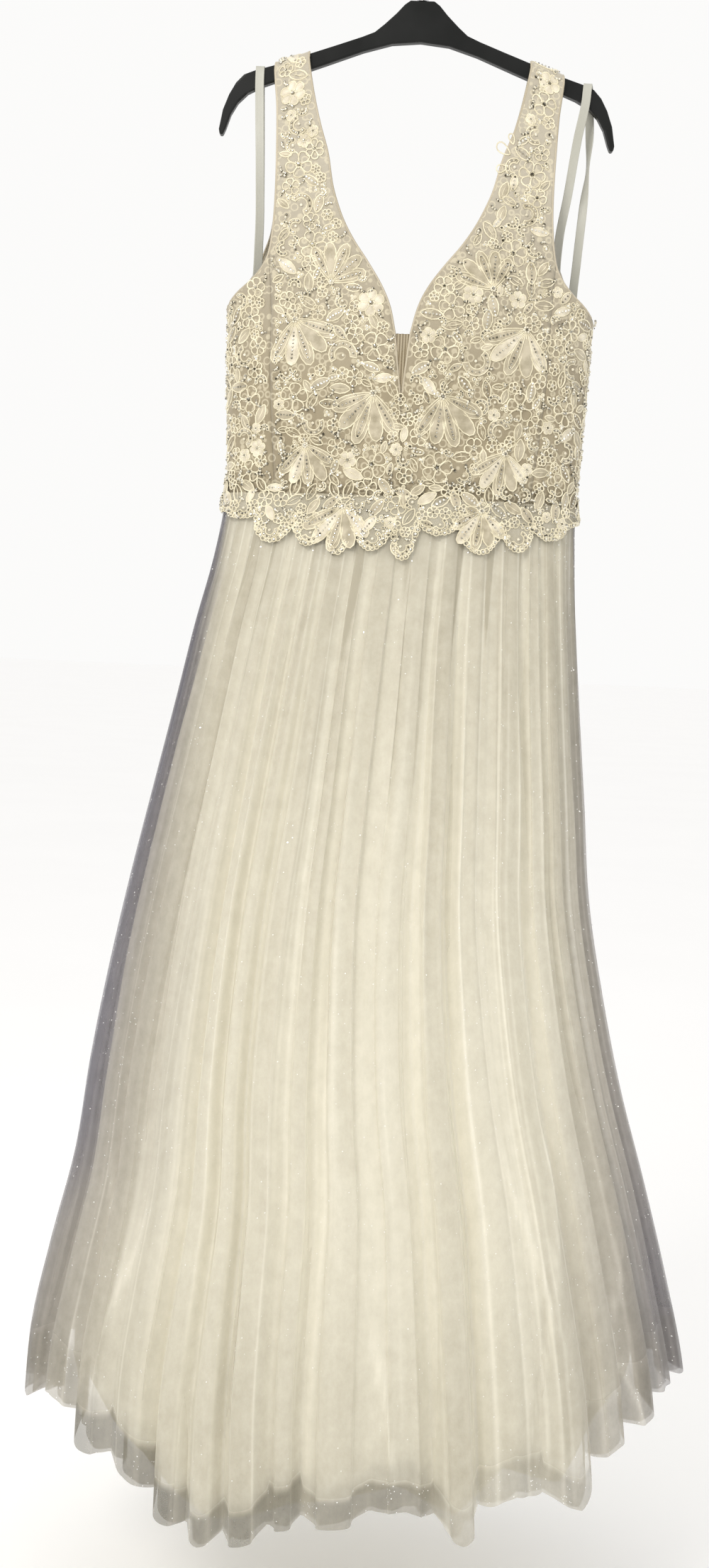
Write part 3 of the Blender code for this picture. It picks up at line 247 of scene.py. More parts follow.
BACK_CREASES = rows_of(Crease, (
    (-66.0, -0.70, -1.26, 3.0, 1.1, 0.0028), (-50.0, -0.65, -1.40, -3.0, 0.9, -0.0026),
    (-38.0, -0.64, -1.10, 2.0, 0.8, 0.0028), (-28.0, -0.66, -1.50, -2.0, 0.8, 0.0030),
    (-19.0, -0.64, -0.96, 1.0, 0.6, -0.0028), (-10.0, -0.65, -1.34, 1.5, 0.7, 0.0032),
    (0.0, -0.66, -1.55, -1.5, 0.8, -0.0026), (9.0, -0.64, -1.14, 2.0, 0.7, 0.0030),
    (19.0, -0.65, -1.44, -2.0, 0.8, 0.0028), (30.0, -0.64, -1.02, 1.5, 0.7, -0.0030),
    (41.0, -0.70, -1.36, 3.0, 0.9, 0.0028), (54.0, -0.66, -1.22, -2.0, 0.9, -0.0026),
    (64.0, -0.78, -1.48, 2.5, 1.1, 0.0030), (-42.0, -1.26, -1.52, 8.0, 0.9, 0.0032),
    (-14.0, -1.34, -1.58, -7.0, 0.8, 0.0030), (26.0, -1.30, -1.56, 8.0, 0.9, 0.0032),
    (48.0, -1.32, -1.54, -8.0, 0.9, 0.0028),
))
LINING_CREASES = rows_of(Crease, (
    (-52.0, -0.68, -1.40, 3.0, 2.2, -0.0022), (-33.0, -0.66, -1.55, -2.0, 2.0, 0.0024),
    (-15.0, -0.65, -1.30, 2.0, 1.8, -0.0022), (1.0, -0.68, -1.56, -1.0, 2.0, 0.0022),
    (18.0, -0.65, -1.20, 2.0, 1.6, -0.0024), (35.0, -0.70, -1.50, 3.0, 2.2, 0.0022),
    (54.0, -0.72, -1.36, -2.0, 2.0, -0.0020),
))

# Gaps between the folds below the waist, where the layer beneath shows in painted shade: place and half
# width in degrees, how far down they reach, and how dark their painted shade is
Wedge = namedtuple("Wedge", "angle half low strength")
FRONT_WEDGES = rows_of(Wedge, (
    (-51.0, 1.6, -0.720, 0.24), (-41.5, 1.3, -0.735, 0.20), (-26.0, 0.9, -0.690, 0.14),
    (-11.5, 2.7, -0.765, 0.24), (3.0, 1.2, -0.700, 0.22), (11.5, 1.9, -0.900, 0.20),
    (20.2, 1.7, -0.775, 0.44), (30.5, 2.3, -0.745, 0.36), (43.0, 1.2, -0.700, 0.22),
    (55.0, 1.4, -0.760, 0.18),
))
BACK_WEDGES = rows_of(Wedge, (
    (-55.0, 1.4, -0.750, 0.24), (-34.0, 1.7, -0.780, 0.30), (-18.0, 1.2, -0.700, 0.24),
    (-5.0, 2.2, -0.770, 0.36), (13.0, 1.4, -0.730, 0.26), (23.5, 2.0, -0.850, 0.22),
    (45.0, 1.6, -0.760, 0.30),
))

# Painted shade of the skirt at each height, set against its middle: darkest under the waist, dimmer again
# towards the hem
Light = namedtuple("Light", "z tone")
PAINTED_SHADE_HEIGHTS = rows_of(Light, (
    (-0.585, -0.33), (-0.700, -0.29), (-0.850, -0.16), (-1.000, -0.06), (-1.150, 0.00),
    (-1.350, -0.01), (-1.480, -0.14), (-1.640, -0.22),
))

# Where the net hangs clear of the lining, left and right of the front, its colour carries painted shade:
# the angles at which the grey beige and the lavender grey painted shade start, and how strong the lavender
# grey is
Clear = namedtuple("Clear", "z beige edge strength")
LEFT_CLEAR = rows_of(Clear, (
    (-0.585, 62.0, 72.0, 0.90), (-0.750, 50.0, 62.0, 1.00), (-0.900, 39.0, 59.0, 1.00),
    (-1.050, 31.0, 58.0, 1.00), (-1.250, 29.0, 59.0, 1.00), (-1.400, 35.0, 66.0, 0.60),
    (-1.640, 40.0, 68.0, 0.45),
))
RIGHT_CLEAR = rows_of(Clear, (
    (-0.585, 62.0, 76.0, 0.60), (-0.750, 56.0, 74.0, 0.60), (-0.950, 50.0, 72.0, 0.50),
    (-1.100, 44.0, 68.0, 0.32), (-1.250, 36.0, 60.0, 0.45), (-1.400, 28.0, 52.0, 0.72),
    (-1.640, 28.0, 52.0, 0.72),
))

# What each sheet of cloth was cut to, in metres, how it is held, and what it hangs from and carries
Cut = namedtuple("Cut", "piece width length area held hangs_from carries")
FRONT_WAIST = ("cloth_front_left", "cloth_front_right",
               "cloth_side_front_left", "cloth_side_front_right")
BACK_WAIST = ("cloth_back_left", "cloth_back_right")
CUTS = rows_of(Cut, (
    ("cloth_front_left", 0.139, 0.510, 0.048, "hung",
     ("hanger_body",), ("lace_front_left", "beads_front_left")),
    ("cloth_front_right", 0.153, 0.510, 0.051, "hung",
     ("hanger_body",), ("lace_front_right", "beads_front_right")),
    ("cloth_side_front_left", 0.076, 0.284, 0.0165, "hung", ("cloth_front_left",), ()),
    ("cloth_side_front_right", 0.076, 0.284, 0.0165, "hung", ("cloth_front_right",), ()),
    ("cloth_back_left", 0.205, 0.505, 0.063, "hung",
     ("hanger_body",), ("lace_back_left", "beads_back_left")),
    ("cloth_back_right", 0.218, 0.505, 0.066, "hung",
     ("hanger_body",), ("lace_back_right", "beads_back_right")),
    ("notch_net", 0.016, 0.064, 0.00055, "stretched", ("cloth_front_left", "cloth_front_right"), ()),
    ("placket_lap", 0.016, 0.172, 0.0027, "hung", BACK_WAIST, ()),
    ("border_net_front", 0.470, 0.070, 0.0185, "hung",
     FRONT_WAIST, ("border_lace_front", "border_beads_front")),
    ("border_net_back", 0.450, 0.066, 0.0180, "hung",
     BACK_WAIST, ("border_lace_back", "border_beads_back")),
    ("tulle_front_outer", 1.54, 1.03, 1.154, "gathered", FRONT_WAIST, ("glitter_front",)),
    ("tulle_front_inner", 1.54, 1.03, 1.154, "gathered", FRONT_WAIST, ()),
    ("tulle_back_outer", 1.42, 1.03, 1.082, "gathered", BACK_WAIST, ("glitter_back",)),
    ("tulle_back_inner", 1.42, 1.03, 1.082, "gathered", BACK_WAIST, ()),
    ("satin_front", 0.95, 1.01, 0.690, "hung", FRONT_WAIST, ()),
    ("satin_back", 0.88, 1.01, 0.650, "hung", BACK_WAIST, ()),
    ("ribbon_loop_left", 0.010, 0.560, 0.0053, "hung", ("hanger_body",), ()),
    ("ribbon_loop_right", 0.010, 0.560, 0.0053, "hung", ("hanger_body",), ()),
))

# Mesh density of the cloth: the tulle's hem has its own rows and material
CURVE_SAMPLES = 1600
TULLE_COLUMNS = 620
TULLE_ROWS = 52
HEM_ROWS = 13
LINING_COLUMNS = 120
LINING_ROWS = 36
GLITTER_FLAKES = 3600
GLITTER_RADIUS = 0.00055
GLITTER_OUT = 0.0004


# Curves and ovals of the part

def hermite(values, slopes, i, t, span):
    """The cubic from row i to the next, at a share t of the span between them."""
    curve = (2 * t**3 - 3 * t**2 + 1) * values[i] + (t**3 - 2 * t**2 + t) * slopes[i] * span
    return curve + ((3 * t**2 - 2 * t**3) * values[i + 1] + (t**3 - t**2) * slopes[i + 1] * span)


def distance_along(points):
    """Distance along a line of points, from the first to each."""
    return np.concatenate([[0.0], np.cumsum(np.linalg.norm(np.diff(points, axis=0), axis=1))])


def curve_of(table, column):
    """The part's cubic curve through a column, as a function of height."""
    heights = np.array([row.z for row in table])[::-1]
    values = np.array([getattr(row, column) for row in table])[::-1]
    slopes = np.gradient(values, heights)
    slopes[1:-1] = (values[2:] - values[:-2]) / (heights[2:] - heights[:-2])
    fine = np.linspace(heights[0], heights[-1], CURVE_SAMPLES)
    i = np.clip(np.searchsorted(heights, fine, side="right") - 1, 0, len(heights) - 2)
    span = heights[i + 1] - heights[i]
    curve = hermite(values, slopes, i, (fine - heights[i]) / span, span)
    return lambda z: np.interp(z, fine, curve)


HALF_WIDTH = curve_of(SECTIONS, "half_width")
DEPTH = {1: curve_of(SECTIONS, "front"), -1: curve_of(SECTIONS, "back")}
SHIFT = curve_of(SECTIONS, "shift")
OPEN_SHARE = curve_of(OPENINGS, "share")
NECK_X = {1: curve_of(NECK, "x"), -1: curve_of(BACK_NECK, "x")}
ARM_X = {1: curve_of(ARMHOLE, "x"), -1: curve_of(BACK_ARMHOLE, "x")}
PRINCESS_X = curve_of(PRINCESS, "x")
LEAN = curve_of(LEANS, "x")
PAINTED_SHADE_BY_HEIGHT = curve_of(PAINTED_SHADE_HEIGHTS, "tone")
CLEAR = {hand: {name: curve_of(table, name) for name in ("beige", "edge", "strength")}
         for hand, table in ((-1, LEFT_CLEAR), (1, RIGHT_CLEAR))}
ANGLES = np.linspace(0.0, math.pi / 2, 73)
FOLDS = {1: FRONT_FOLDS, -1: BACK_FOLDS}
SCALLOPS = {1: FRONT_SCALLOPS, -1: BACK_SCALLOPS}
SIDE_NAME = {1: "front", -1: "back"}
HAND_NAME = {-1: "left", 1: "right"}


def arc_lengths(width, depth):
    """Distance round a quarter oval at each of ANGLES, a row for each oval."""
    width = np.atleast_1d(width)[:, None]
    depth = np.atleast_1d(depth)[:, None]
    speed = np.sqrt((width * np.cos(ANGLES)) ** 2 + (depth * np.sin(ANGLES)) ** 2)
    steps = 0.5 * (speed[:, 1:] + speed[:, :-1]) * np.diff(ANGLES)
    return np.hstack([np.zeros((len(width), 1)), np.cumsum(steps, axis=1)])


def cloth_distance(x, z, side):
    """Distance along the cloth from the centre line to a half width x."""
    x, z = np.broadcast_arrays(np.atleast_1d(x), np.atleast_1d(z))
    width = HALF_WIDTH(z)
    lengths = arc_lengths(width, DEPTH[side](z))
    spot = np.arcsin(np.clip(np.abs(x) / width, 0, 1)) / ANGLES[1]
    i = np.clip(spot.astype(int), 0, len(ANGLES) - 2)
    rows = np.arange(len(x))
    found = lengths[rows, i] + (lengths[rows, i + 1] - lengths[rows, i]) * (spot - i)
    return np.copysign(found, x)


def side_distance(z, side):
    """Distance along the cloth from the centre line to the side seam."""
    return arc_lengths(HALF_WIDTH(z), DEPTH[side](z))[:, -1]


WRAP_TOP_Z = SHOULDER_Z + WRAP_RADIUS * math.pi / 2
MAP_REACH = 0.275
MAP_STEP_S = 0.002
MAP_STEP_Z = 0.0014
MAP_BELOW = 0.003
MAP_ABOVE = 0.002


class BodiceMap:
    """Places and normals of the bodice's outer face, read between a fine grid's points."""

    def __init__(self, side):
        self.s = np.arange(-MAP_REACH, MAP_REACH + MAP_STEP_S, MAP_STEP_S)
        self.z = np.arange(WAIST_Z - MAP_BELOW, WRAP_TOP_Z + MAP_ABOVE, MAP_STEP_Z)
        below = np.minimum(self.z, SHOULDER_Z)
        width = HALF_WIDTH(below)[:, None]
        depth = DEPTH[side](below)
        turn = np.maximum(self.z - SHOULDER_Z, 0.0) / WRAP_RADIUS
        lengths = arc_lengths(width[:, 0], depth)
        reach = np.abs(self.s)
        angle = np.array([np.interp(reach, row, ANGLES) for row in lengths])
        beyond = np.maximum(reach[None, :] - lengths[:, -1:], 0.0)
        height = below + WRAP_RADIUS * np.sin(turn)
        x = width * np.sin(angle) * np.sign(self.s) + SHIFT(below)[:, None]
        y = -side * (depth * np.cos(turn))[:, None] * np.cos(angle) + side * beyond
        share = np.clip((height - STRAP_LEVEL_Z) / (SHOULDER_Z - STRAP_LEVEL_Z), 0, 1)[:, None]
        z = height[:, None] - ARM_SLOPE * (np.abs(x) - STRAP_MIDDLE) * share
        self.points = np.stack([x, y, z], axis=-1)
        along = np.gradient(self.points, axis=1)
        up = np.gradient(self.points, axis=0)
        normals = side * np.cross(along, up)
        self.normals = normals / np.linalg.norm(normals, axis=-1, keepdims=True)

    def at(self, s, z, out):
        """Points of the bodice at a distance out from its outer face."""
        u = np.clip((s - self.s[0]) / MAP_STEP_S, 0, len(self.s) - 1.001)
        v = np.clip((z - self.z[0]) / MAP_STEP_Z, 0, len(self.z) - 1.001)
        i, j = v.astype(int), u.astype(int)
        fv, fu = (v - i)[..., None], (u - j)[..., None]

        def read(grid):
            low = grid[i, j] * (1 - fu) + grid[i, j + 1] * fu
            high = grid[i + 1, j] * (1 - fu) + grid[i + 1, j + 1] * fu
            return low * (1 - fv) + high * fv

        return read(self.points) + read(self.normals) * np.asarray(out)[..., None]


BODICE = {1: BodiceMap(1), -1: BodiceMap(-1)}


def skirt_at(degrees, z, side, out):
    """Points on the skirt's mean oval, moved out level along its normal."""
    width, depth = HALF_WIDTH(z), DEPTH[side](z)
    angle = np.radians(degrees)
    across, forward = np.sin(angle) * depth, np.cos(angle) * width
    length = np.hypot(across, forward)
    x = width * np.sin(angle) + SHIFT(z) + across / length * out
    y = -side * (depth * np.cos(angle) + forward / length * out)
    return np.stack([x, y, np.broadcast_to(z, x.shape)], axis=-1)


def border_at(s, z, side, out):
    """Points of the lace border, just outside the gathers at the top of the tulle."""
    lengths = arc_lengths(HALF_WIDTH(BORDER_TOP_Z), DEPTH[side](BORDER_TOP_Z))[0]
    angle = np.interp(np.abs(s), lengths, ANGLES) * np.sign(s)
    crest = FOLD_DEPTH * OPEN_SHARE(z) * HIGHEST_CREST
    round_side = BORDER_SIDE_LIFT * np.sin(angle) ** 8
    return skirt_at(np.degrees(angle), z, side, crest + round_side + out)


def smooth_step(value):
    """From 0 to 1 without a corner."""
    t = np.clip(value, 0, 1)
    return t * t * (3 - 2 * t)


def fade_both(gone, rise, fall):
    """From 0 to 1 within the first share of the way, and back to 0 within the last."""
    return smooth_step(gone / rise) * smooth_step((1 - gone) / fall)


def bell(value):
    return np.exp(-(value ** 2))


LACE_RISE_TOP = 0.030
LACE_RISE = 0.0034
LACE_JOIN = 0.003


def lace_at(s, z, side, out):
    """The lace lies on the bodice, and passes over the waist seam on to the border."""
    rise = LACE_RISE * smooth_step((WAIST_Z + LACE_RISE_TOP - z) / LACE_RISE_TOP)
    upper = BODICE[side].at(s, np.maximum(z, WAIST_Z), out + rise)
    lower = border_at(s, np.minimum(z, BORDER_TOP_Z), side, out + BORDER_OUT)
    share = smooth_step((WAIST_Z + LACE_JOIN - z) / (2 * LACE_JOIN))[..., None]
    upper[..., 2] += np.minimum(z - WAIST_Z, 0.0)
    lower[..., 2] += np.maximum(z - BORDER_TOP_Z, 0.0)
    return upper * (1 - share) + lower * share


# Meshes

def put_in_scene(name, data):
    item = bpy.data.objects.new(name, data)
    bpy.context.scene.collection.objects.link(item)
    return item


def mesh_object(name, points, faces, materials, kinds=None, flat_kinds=()):
    """An object from arrays of points and faces, which all have the same number of corners."""
    mesh = bpy.data.meshes.new(name)
    count, corners = faces.shape
    mesh.vertices.add(len(points))
    mesh.vertices.foreach_set("co", np.asarray(points, np.float32).ravel())
    mesh.loops.add(faces.size)
    mesh.loops.foreach_set("vertex_index", faces.astype(np.int32).ravel())
    mesh.polygons.add(count)
    mesh.polygons.foreach_set("loop_start", np.arange(0, faces.size, corners, dtype=np.int32))
    smooth = np.ones(count, bool)
    if kinds is not None:
        mesh.polygons.foreach_set("material_index", kinds.astype(np.int32))
        for kind in flat_kinds:
            smooth[kinds == kind] = False
    mesh.polygons.foreach_set("use_smooth", smooth)
    mesh.update(calc_edges=True)
    mesh.validate()
    for material in materials:
        mesh.materials.append(material)
    return put_in_scene(name, mesh)


def grid_faces(rows, columns, closed=False):
    """Quads of a grid of points; closed joins the last column to the first."""
    i = np.arange(rows - 1)[:, None]
    j = np.arange(columns if closed else columns - 1)[None, :]
    after = (j + 1) % columns
    corners = (i * columns + j, i * columns + after, (i + 1) * columns + after, (i + 1) * columns + j)
    return np.stack([np.broadcast_to(c, (rows - 1, j.size)).ravel() for c in corners], axis=-1)


def split_quads(quads):
    return np.vstack([quads[:, [0, 1, 2]], quads[:, [0, 2, 3]]])


def capped_rings(count):
    """Triangles of an outer ring, an inner ring and the point that closes it."""
    j = np.arange(count)
    after = (j + 1) % count
    return np.vstack([
        np.stack([j, after, after + count], axis=-1),
        np.stack([j, after + count, j + count], axis=-1),
        np.stack([j + count, after + count, np.full(count, 2 * count)], axis=-1),
    ])


def wall_mesh(name, outer, inner, materials):
    """A closed wall between two grids of the same size."""
    rows, columns = outer.shape[:2]
    base = rows * columns
    skin = grid_faces(rows, columns)
    rim = np.concatenate([
        np.arange(columns),
        np.arange(1, rows) * columns + columns - 1,
        (rows - 1) * columns + np.arange(columns - 2, -1, -1),
        np.arange(rows - 2, 0, -1) * columns,
    ])
    after = np.roll(rim, -1)
    sides = np.stack([after, rim, rim + base, after + base], axis=-1)
    faces = np.vstack([skin, skin[:, ::-1] + base, sides])
    points = np.vstack([outer.reshape(-1, 3), inner.reshape(-1, 3)])
    return mesh_object(name, points, faces, materials)


def ride_and_slot(piece, slot, *nodes):
    """A piece that moves with the one body and stands for those solids; the slot is not used."""
    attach(piece, "root")
    if nodes:
        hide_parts(*nodes)
    return piece


# Materials

def shader_of(name):
    material = bpy.data.materials.new(name)
    material.use_nodes = True
    tree = material.node_tree
    return material, tree, tree.nodes["Principled BSDF"]


def add_node(tree, kind, **values):
    node = tree.nodes.new(kind)
    for key, value in values.items():
        if key in node.inputs:
            node.inputs[key].default_value = value
        else:
            setattr(node, key, value)
    return node


def set_shader(shader, **values):
    """Plain values on the shader's sockets, such as Sheen_Weight=0.3."""
    for key, value in values.items():
        shader.inputs[key.replace("_", " ")].default_value = value


def object_place(tree, scale=(1.0, 1.0, 1.0)):
    """Object coordinates, stretched."""
    source = add_node(tree, "ShaderNodeTexCoord")
    mapping = add_node(tree, "ShaderNodeMapping")
    mapping.inputs["Scale"].default_value = scale
    tree.links.new(source.outputs["Object"], mapping.inputs["Vector"])
    return mapping.outputs["Vector"]


def noise(tree, place, scale, detail=3.0, roughness=0.5):
    node = add_node(tree, "ShaderNodeTexNoise", Scale=scale, Detail=detail, Roughness=roughness)
    tree.links.new(place, node.inputs["Vector"])
    return node.outputs["Fac"]


def two_tone(tree, shader, factor, low, high, span=(0.35, 0.65)):
    """Colour that goes from low to high with a pattern's value."""
    ramp = add_node(tree, "ShaderNodeValToRGB")
    ramp.color_ramp.elements[0].position = span[0]
    ramp.color_ramp.elements[1].position = span[1]
    ramp.color_ramp.elements[0].color = (*low, 1.0)
    ramp.color_ramp.elements[1].color = (*high, 1.0)
    tree.links.new(factor, ramp.inputs["Fac"])
    tree.links.new(ramp.outputs["Color"], shader.inputs["Base Color"])


def add_bump(tree, shader, height, distance, strength=1.0):
    bump = add_node(tree, "ShaderNodeBump", Distance=distance, Strength=strength)
    tree.links.new(height, bump.inputs["Height"])
    tree.links.new(bump.outputs["Normal"], shader.inputs["Normal"])


NET_CELL = 0.0011
BODICE_NET_CELL = 0.0013
NET_RELIEF = 0.00012
BODICE_RELIEF = 0.00040
THREAD_RELIEF = 0.00012
WEAVE_RELIEF = 0.00008
GRAIN_RELIEF = 0.00006
WIRE_RELIEF = 0.00003


def net_height(tree, cell):
    """A fine hexagonal net: ridges between cells of that size."""
    place = object_place(tree)
    cells = add_node(tree, "ShaderNodeTexVoronoi", Scale=1.0 / cell, Randomness=0.35)
    cells.feature = "DISTANCE_TO_EDGE"
    tree.links.new(place, cells.inputs["Vector"])
    return cells.outputs["Distance"]


def sheer_material(name, low, high, alpha, pleats=None):
    """Plain sheer net: a soft colour or uneven pleats, and a fine net in its relief."""
    material, tree, shader = shader_of(name)
    if pleats:
        waves = add_node(tree, "ShaderNodeTexWave", Scale=pleats, Distortion=1.2, Detail=1.0)
        tree.links.new(object_place(tree, (1.0, 1.0, 0.12)), waves.inputs["Vector"])
        two_tone(tree, shader, waves.outputs["Fac"], low, high, (0.1, 0.9))
    else:
        two_tone(tree, shader, noise(tree, object_place(tree), 40.0), low, high)
    set_shader(shader, Roughness=0.75, Alpha=alpha, Specular_IOR_Level=0.3)
    add_bump(tree, shader, net_height(tree, NET_CELL), NET_RELIEF, 0.5)
    return material


def mix_colour(tree, factor, first, second):
    """Mix of two colours, each a fixed colour or another node's output."""
    mix = add_node(tree, "ShaderNodeMix", data_type="RGBA")
    if factor is not None:
        tree.links.new(factor, mix.inputs["Factor"])
    for socket, value in ((mix.inputs[6], first), (mix.inputs[7], second)):
        if isinstance(value, tuple):
            socket.default_value = (*value, 1.0)
        else:
            tree.links.new(value, socket)
    return mix.outputs[2]


def attribute(tree, name):
    return add_node(tree, "ShaderNodeAttribute", attribute_name=name).outputs["Fac"]


def calculate(tree, operation, first, second):
    node = add_node(tree, "ShaderNodeMath", operation=operation)
    for socket, value in zip(node.inputs, (first, second)):
        if isinstance(value, float):
            socket.default_value = value
        else:
            tree.links.new(value, socket)
    return node.outputs[0]


STREAKS = 0.28
MOTTLE = 0.55


def tulle_material(name, alpha):
    """Sheer net: streaks along its folds, with painted light and shade read from the sheet's attributes:
    painted grey shade at the sides and dark painted shade at the hem.
    """
    material, tree, shader = shader_of(name)
    place = add_node(tree, "ShaderNodeCombineXYZ")
    height = add_node(tree, "ShaderNodeSeparateXYZ")
    tree.links.new(object_place(tree), height.inputs[0])
    tree.links.new(attribute(tree, "around"), place.inputs["X"])
    tree.links.new(height.outputs["Z"], place.inputs["Z"])
    streaks = noise(tree, place.outputs[0], 4.0, 5.0, 0.6)
    mottle = noise(tree, object_place(tree, (1.0, 1.0, 0.7)), 75.0, 6.0, 0.7)
    tone = attribute(tree, "shade")
    for pattern, strength in ((streaks, STREAKS), (mottle, MOTTLE)):
        pattern = calculate(tree, "MULTIPLY", calculate(tree, "SUBTRACT", pattern, 0.5), strength)
        tone = calculate(tree, "ADD", tone, pattern)
    ramp = add_node(tree, "ShaderNodeMapRange")
    tree.links.new(tone, ramp.inputs["Value"])
    lined = mix_colour(tree, ramp.outputs[0], TULLE_LOW, TULLE_HIGH)
    # Painted shade where the net hangs clear of the lining, along its outline and at the hem
    side_shade = mix_colour(tree, ramp.outputs[0], TULLE_SIDE_SHADE_LOW, TULLE_SIDE_SHADE_HIGH)
    outline = mix_colour(tree, ramp.outputs[0], TULLE_EDGE_SHADE_LOW, TULLE_EDGE_SHADE_HIGH)
    sides = mix_colour(tree, attribute(tree, "beyond"), lined, side_shade)
    sides = mix_colour(tree, attribute(tree, "edge"), sides, outline)
    hem = mix_colour(tree, ramp.outputs[0], TULLE_HEM_SHADE_LOW, TULLE_HEM_SHADE_HIGH)
    tree.links.new(mix_colour(tree, attribute(tree, "band"), sides, hem), shader.inputs["Base Color"])
    set_shader(shader, Roughness=0.7, Alpha=alpha, Sheen_Weight=0.15, Sheen_Roughness=0.4,
               Specular_IOR_Level=0.3)
    add_bump(tree, shader, net_height(tree, NET_CELL), NET_RELIEF, 0.5)
    return material


def satin_material(name, low, high, roughness, sheen=0.3, scale=140.0):
    """Smooth cloth: a soft uneven colour over a fine weave."""
    material, tree, shader = shader_of(name)
    two_tone(tree, shader, noise(tree, object_place(tree, (1.0, 1.0, 0.5)), 14.0), low, high)
    set_shader(shader, Roughness=roughness, Sheen_Weight=sheen, Sheen_Roughness=0.35,
               Specular_IOR_Level=0.35)
    weave = add_node(tree, "ShaderNodeTexWave", Scale=scale * 2.0, Distortion=1.5, Detail=2.0)
    tree.links.new(object_place(tree), weave.inputs["Vector"])
    add_bump(tree, shader, weave.outputs["Fac"], WEAVE_RELIEF, 0.35)
    return material


RING_SCALE = 115.0
RING_COLOUR = (0.68, 0.615, 0.45)
RING_RADIUS = 0.42
STRAP_COLOUR_LOW_Z = -0.47
STRAP_COLOUR_TOP_Z = -0.26


def net_cloth_material(name, low, high, strap):
    """Bodice cloth: champagne lining under a net with small corded rings; the straps are paler."""
    material, tree, shader = shader_of(name)
    place = object_place(tree)
    height = add_node(tree, "ShaderNodeSeparateXYZ")
    tree.links.new(place, height.inputs[0])
    up = add_node(tree, "ShaderNodeMapRange")
    up.inputs["From Min"].default_value = STRAP_COLOUR_LOW_Z
    up.inputs["From Max"].default_value = STRAP_COLOUR_TOP_Z
    tree.links.new(height.outputs["Z"], up.inputs["Value"])
    warm = mix_colour(tree, noise(tree, place, 22.0, 4.0), low, high)
    cloth = mix_colour(tree, up.outputs[0], warm, strap)
    cells = add_node(tree, "ShaderNodeTexVoronoi", Scale=RING_SCALE, Randomness=0.9)
    tree.links.new(place, cells.inputs["Vector"])
    away = calculate(tree, "SUBTRACT", cells.outputs["Distance"], RING_RADIUS)
    away = calculate(tree, "ABSOLUTE", away, 0.0)
    ring = add_node(tree, "ShaderNodeMapRange")
    for socket, value in (("From Min", 0.12), ("From Max", 0.05), ("To Max", 0.50)):
        ring.inputs[socket].default_value = value
    tree.links.new(away, ring.inputs["Value"])
    tree.links.new(mix_colour(tree, ring.outputs[0], cloth, RING_COLOUR), shader.inputs["Base Color"])
    set_shader(shader, Roughness=0.6, Sheen_Weight=0.3, Specular_IOR_Level=0.3)
    relief = calculate(tree, "ADD", net_height(tree, BODICE_NET_CELL), ring.outputs[0])
    add_bump(tree, shader, relief, BODICE_RELIEF, 0.8)
    return material


def thread_material(name, low, high, roughness=0.5):
    """Twisted rayon thread: fine ribs and a silky light."""
    material, tree, shader = shader_of(name)
    two_tone(tree, shader, noise(tree, object_place(tree), 90.0), low, high)
    set_shader(shader, Roughness=roughness, Sheen_Weight=0.35, Specular_IOR_Level=0.5)
    ribs = add_node(tree, "ShaderNodeTexWave", Scale=420.0, Distortion=3.0, Detail=1.0)
    ribs.bands_direction = "DIAGONAL"
    tree.links.new(object_place(tree), ribs.inputs["Vector"])
    add_bump(tree, shader, ribs.outputs["Fac"], THREAD_RELIEF, 0.7)
    return material


def bead_material(name, low, high, metallic, roughness, coat):
    """Pearls, sequins and crystals: different from bead to bead; the crystals' near-black end is painted
    dark reflection.
    """
    material, tree, shader = shader_of(name)
    two_tone(tree, shader, noise(tree, object_place(tree), 240.0, 1.0), low, high)
    set_shader(shader, Metallic=metallic, Roughness=roughness, Coat_Weight=coat, Coat_Roughness=0.08)
    return material


def plastic_material():
    """Satin black moulded plastic with a faint grain and a little dust."""
    material, tree, shader = shader_of("hanger_black")
    patches = noise(tree, object_place(tree), 18.0)
    two_tone(tree, shader, patches, (0.003, 0.0035, 0.003), (0.008, 0.0085, 0.008))
    set_shader(shader, Roughness=0.32, Specular_IOR_Level=0.22)
    add_bump(tree, shader, noise(tree, object_place(tree), 900.0, 2.0), GRAIN_RELIEF, 0.5)
    return material


def steel_material():
    """Bright plated wire with fine drawing marks."""
    material, tree, shader = shader_of("hook_steel")
    marks = noise(tree, object_place(tree, (1.0, 1.0, 0.1)), 600.0, 2.0)
    two_tone(tree, shader, marks, (0.55, 0.55, 0.56), (0.72, 0.72, 0.73))
    set_shader(shader, Metallic=1.0, Roughness=0.22)
    add_bump(tree, shader, marks, WIRE_RELIEF, 0.4)
    return material


# The tulle's colours at the dim and the light end of its painted light and shade: over the lining, clear of
# it at the sides and along its outline (grey beige and lavender grey painted shade), and at the hem (dark
# painted shade)
TULLE_LOW = (0.44, 0.405, 0.315)
TULLE_HIGH = (0.98, 0.945, 0.82)
TULLE_SIDE_SHADE_LOW = (0.22, 0.20, 0.16)
TULLE_SIDE_SHADE_HIGH = (0.70, 0.66, 0.585)
TULLE_EDGE_SHADE_LOW = (0.090, 0.087, 0.106)
TULLE_EDGE_SHADE_HIGH = (0.315, 0.303, 0.348)
TULLE_HEM_SHADE_LOW = (0.06, 0.055, 0.038)
TULLE_HEM_SHADE_HIGH = (0.42, 0.385, 0.300)

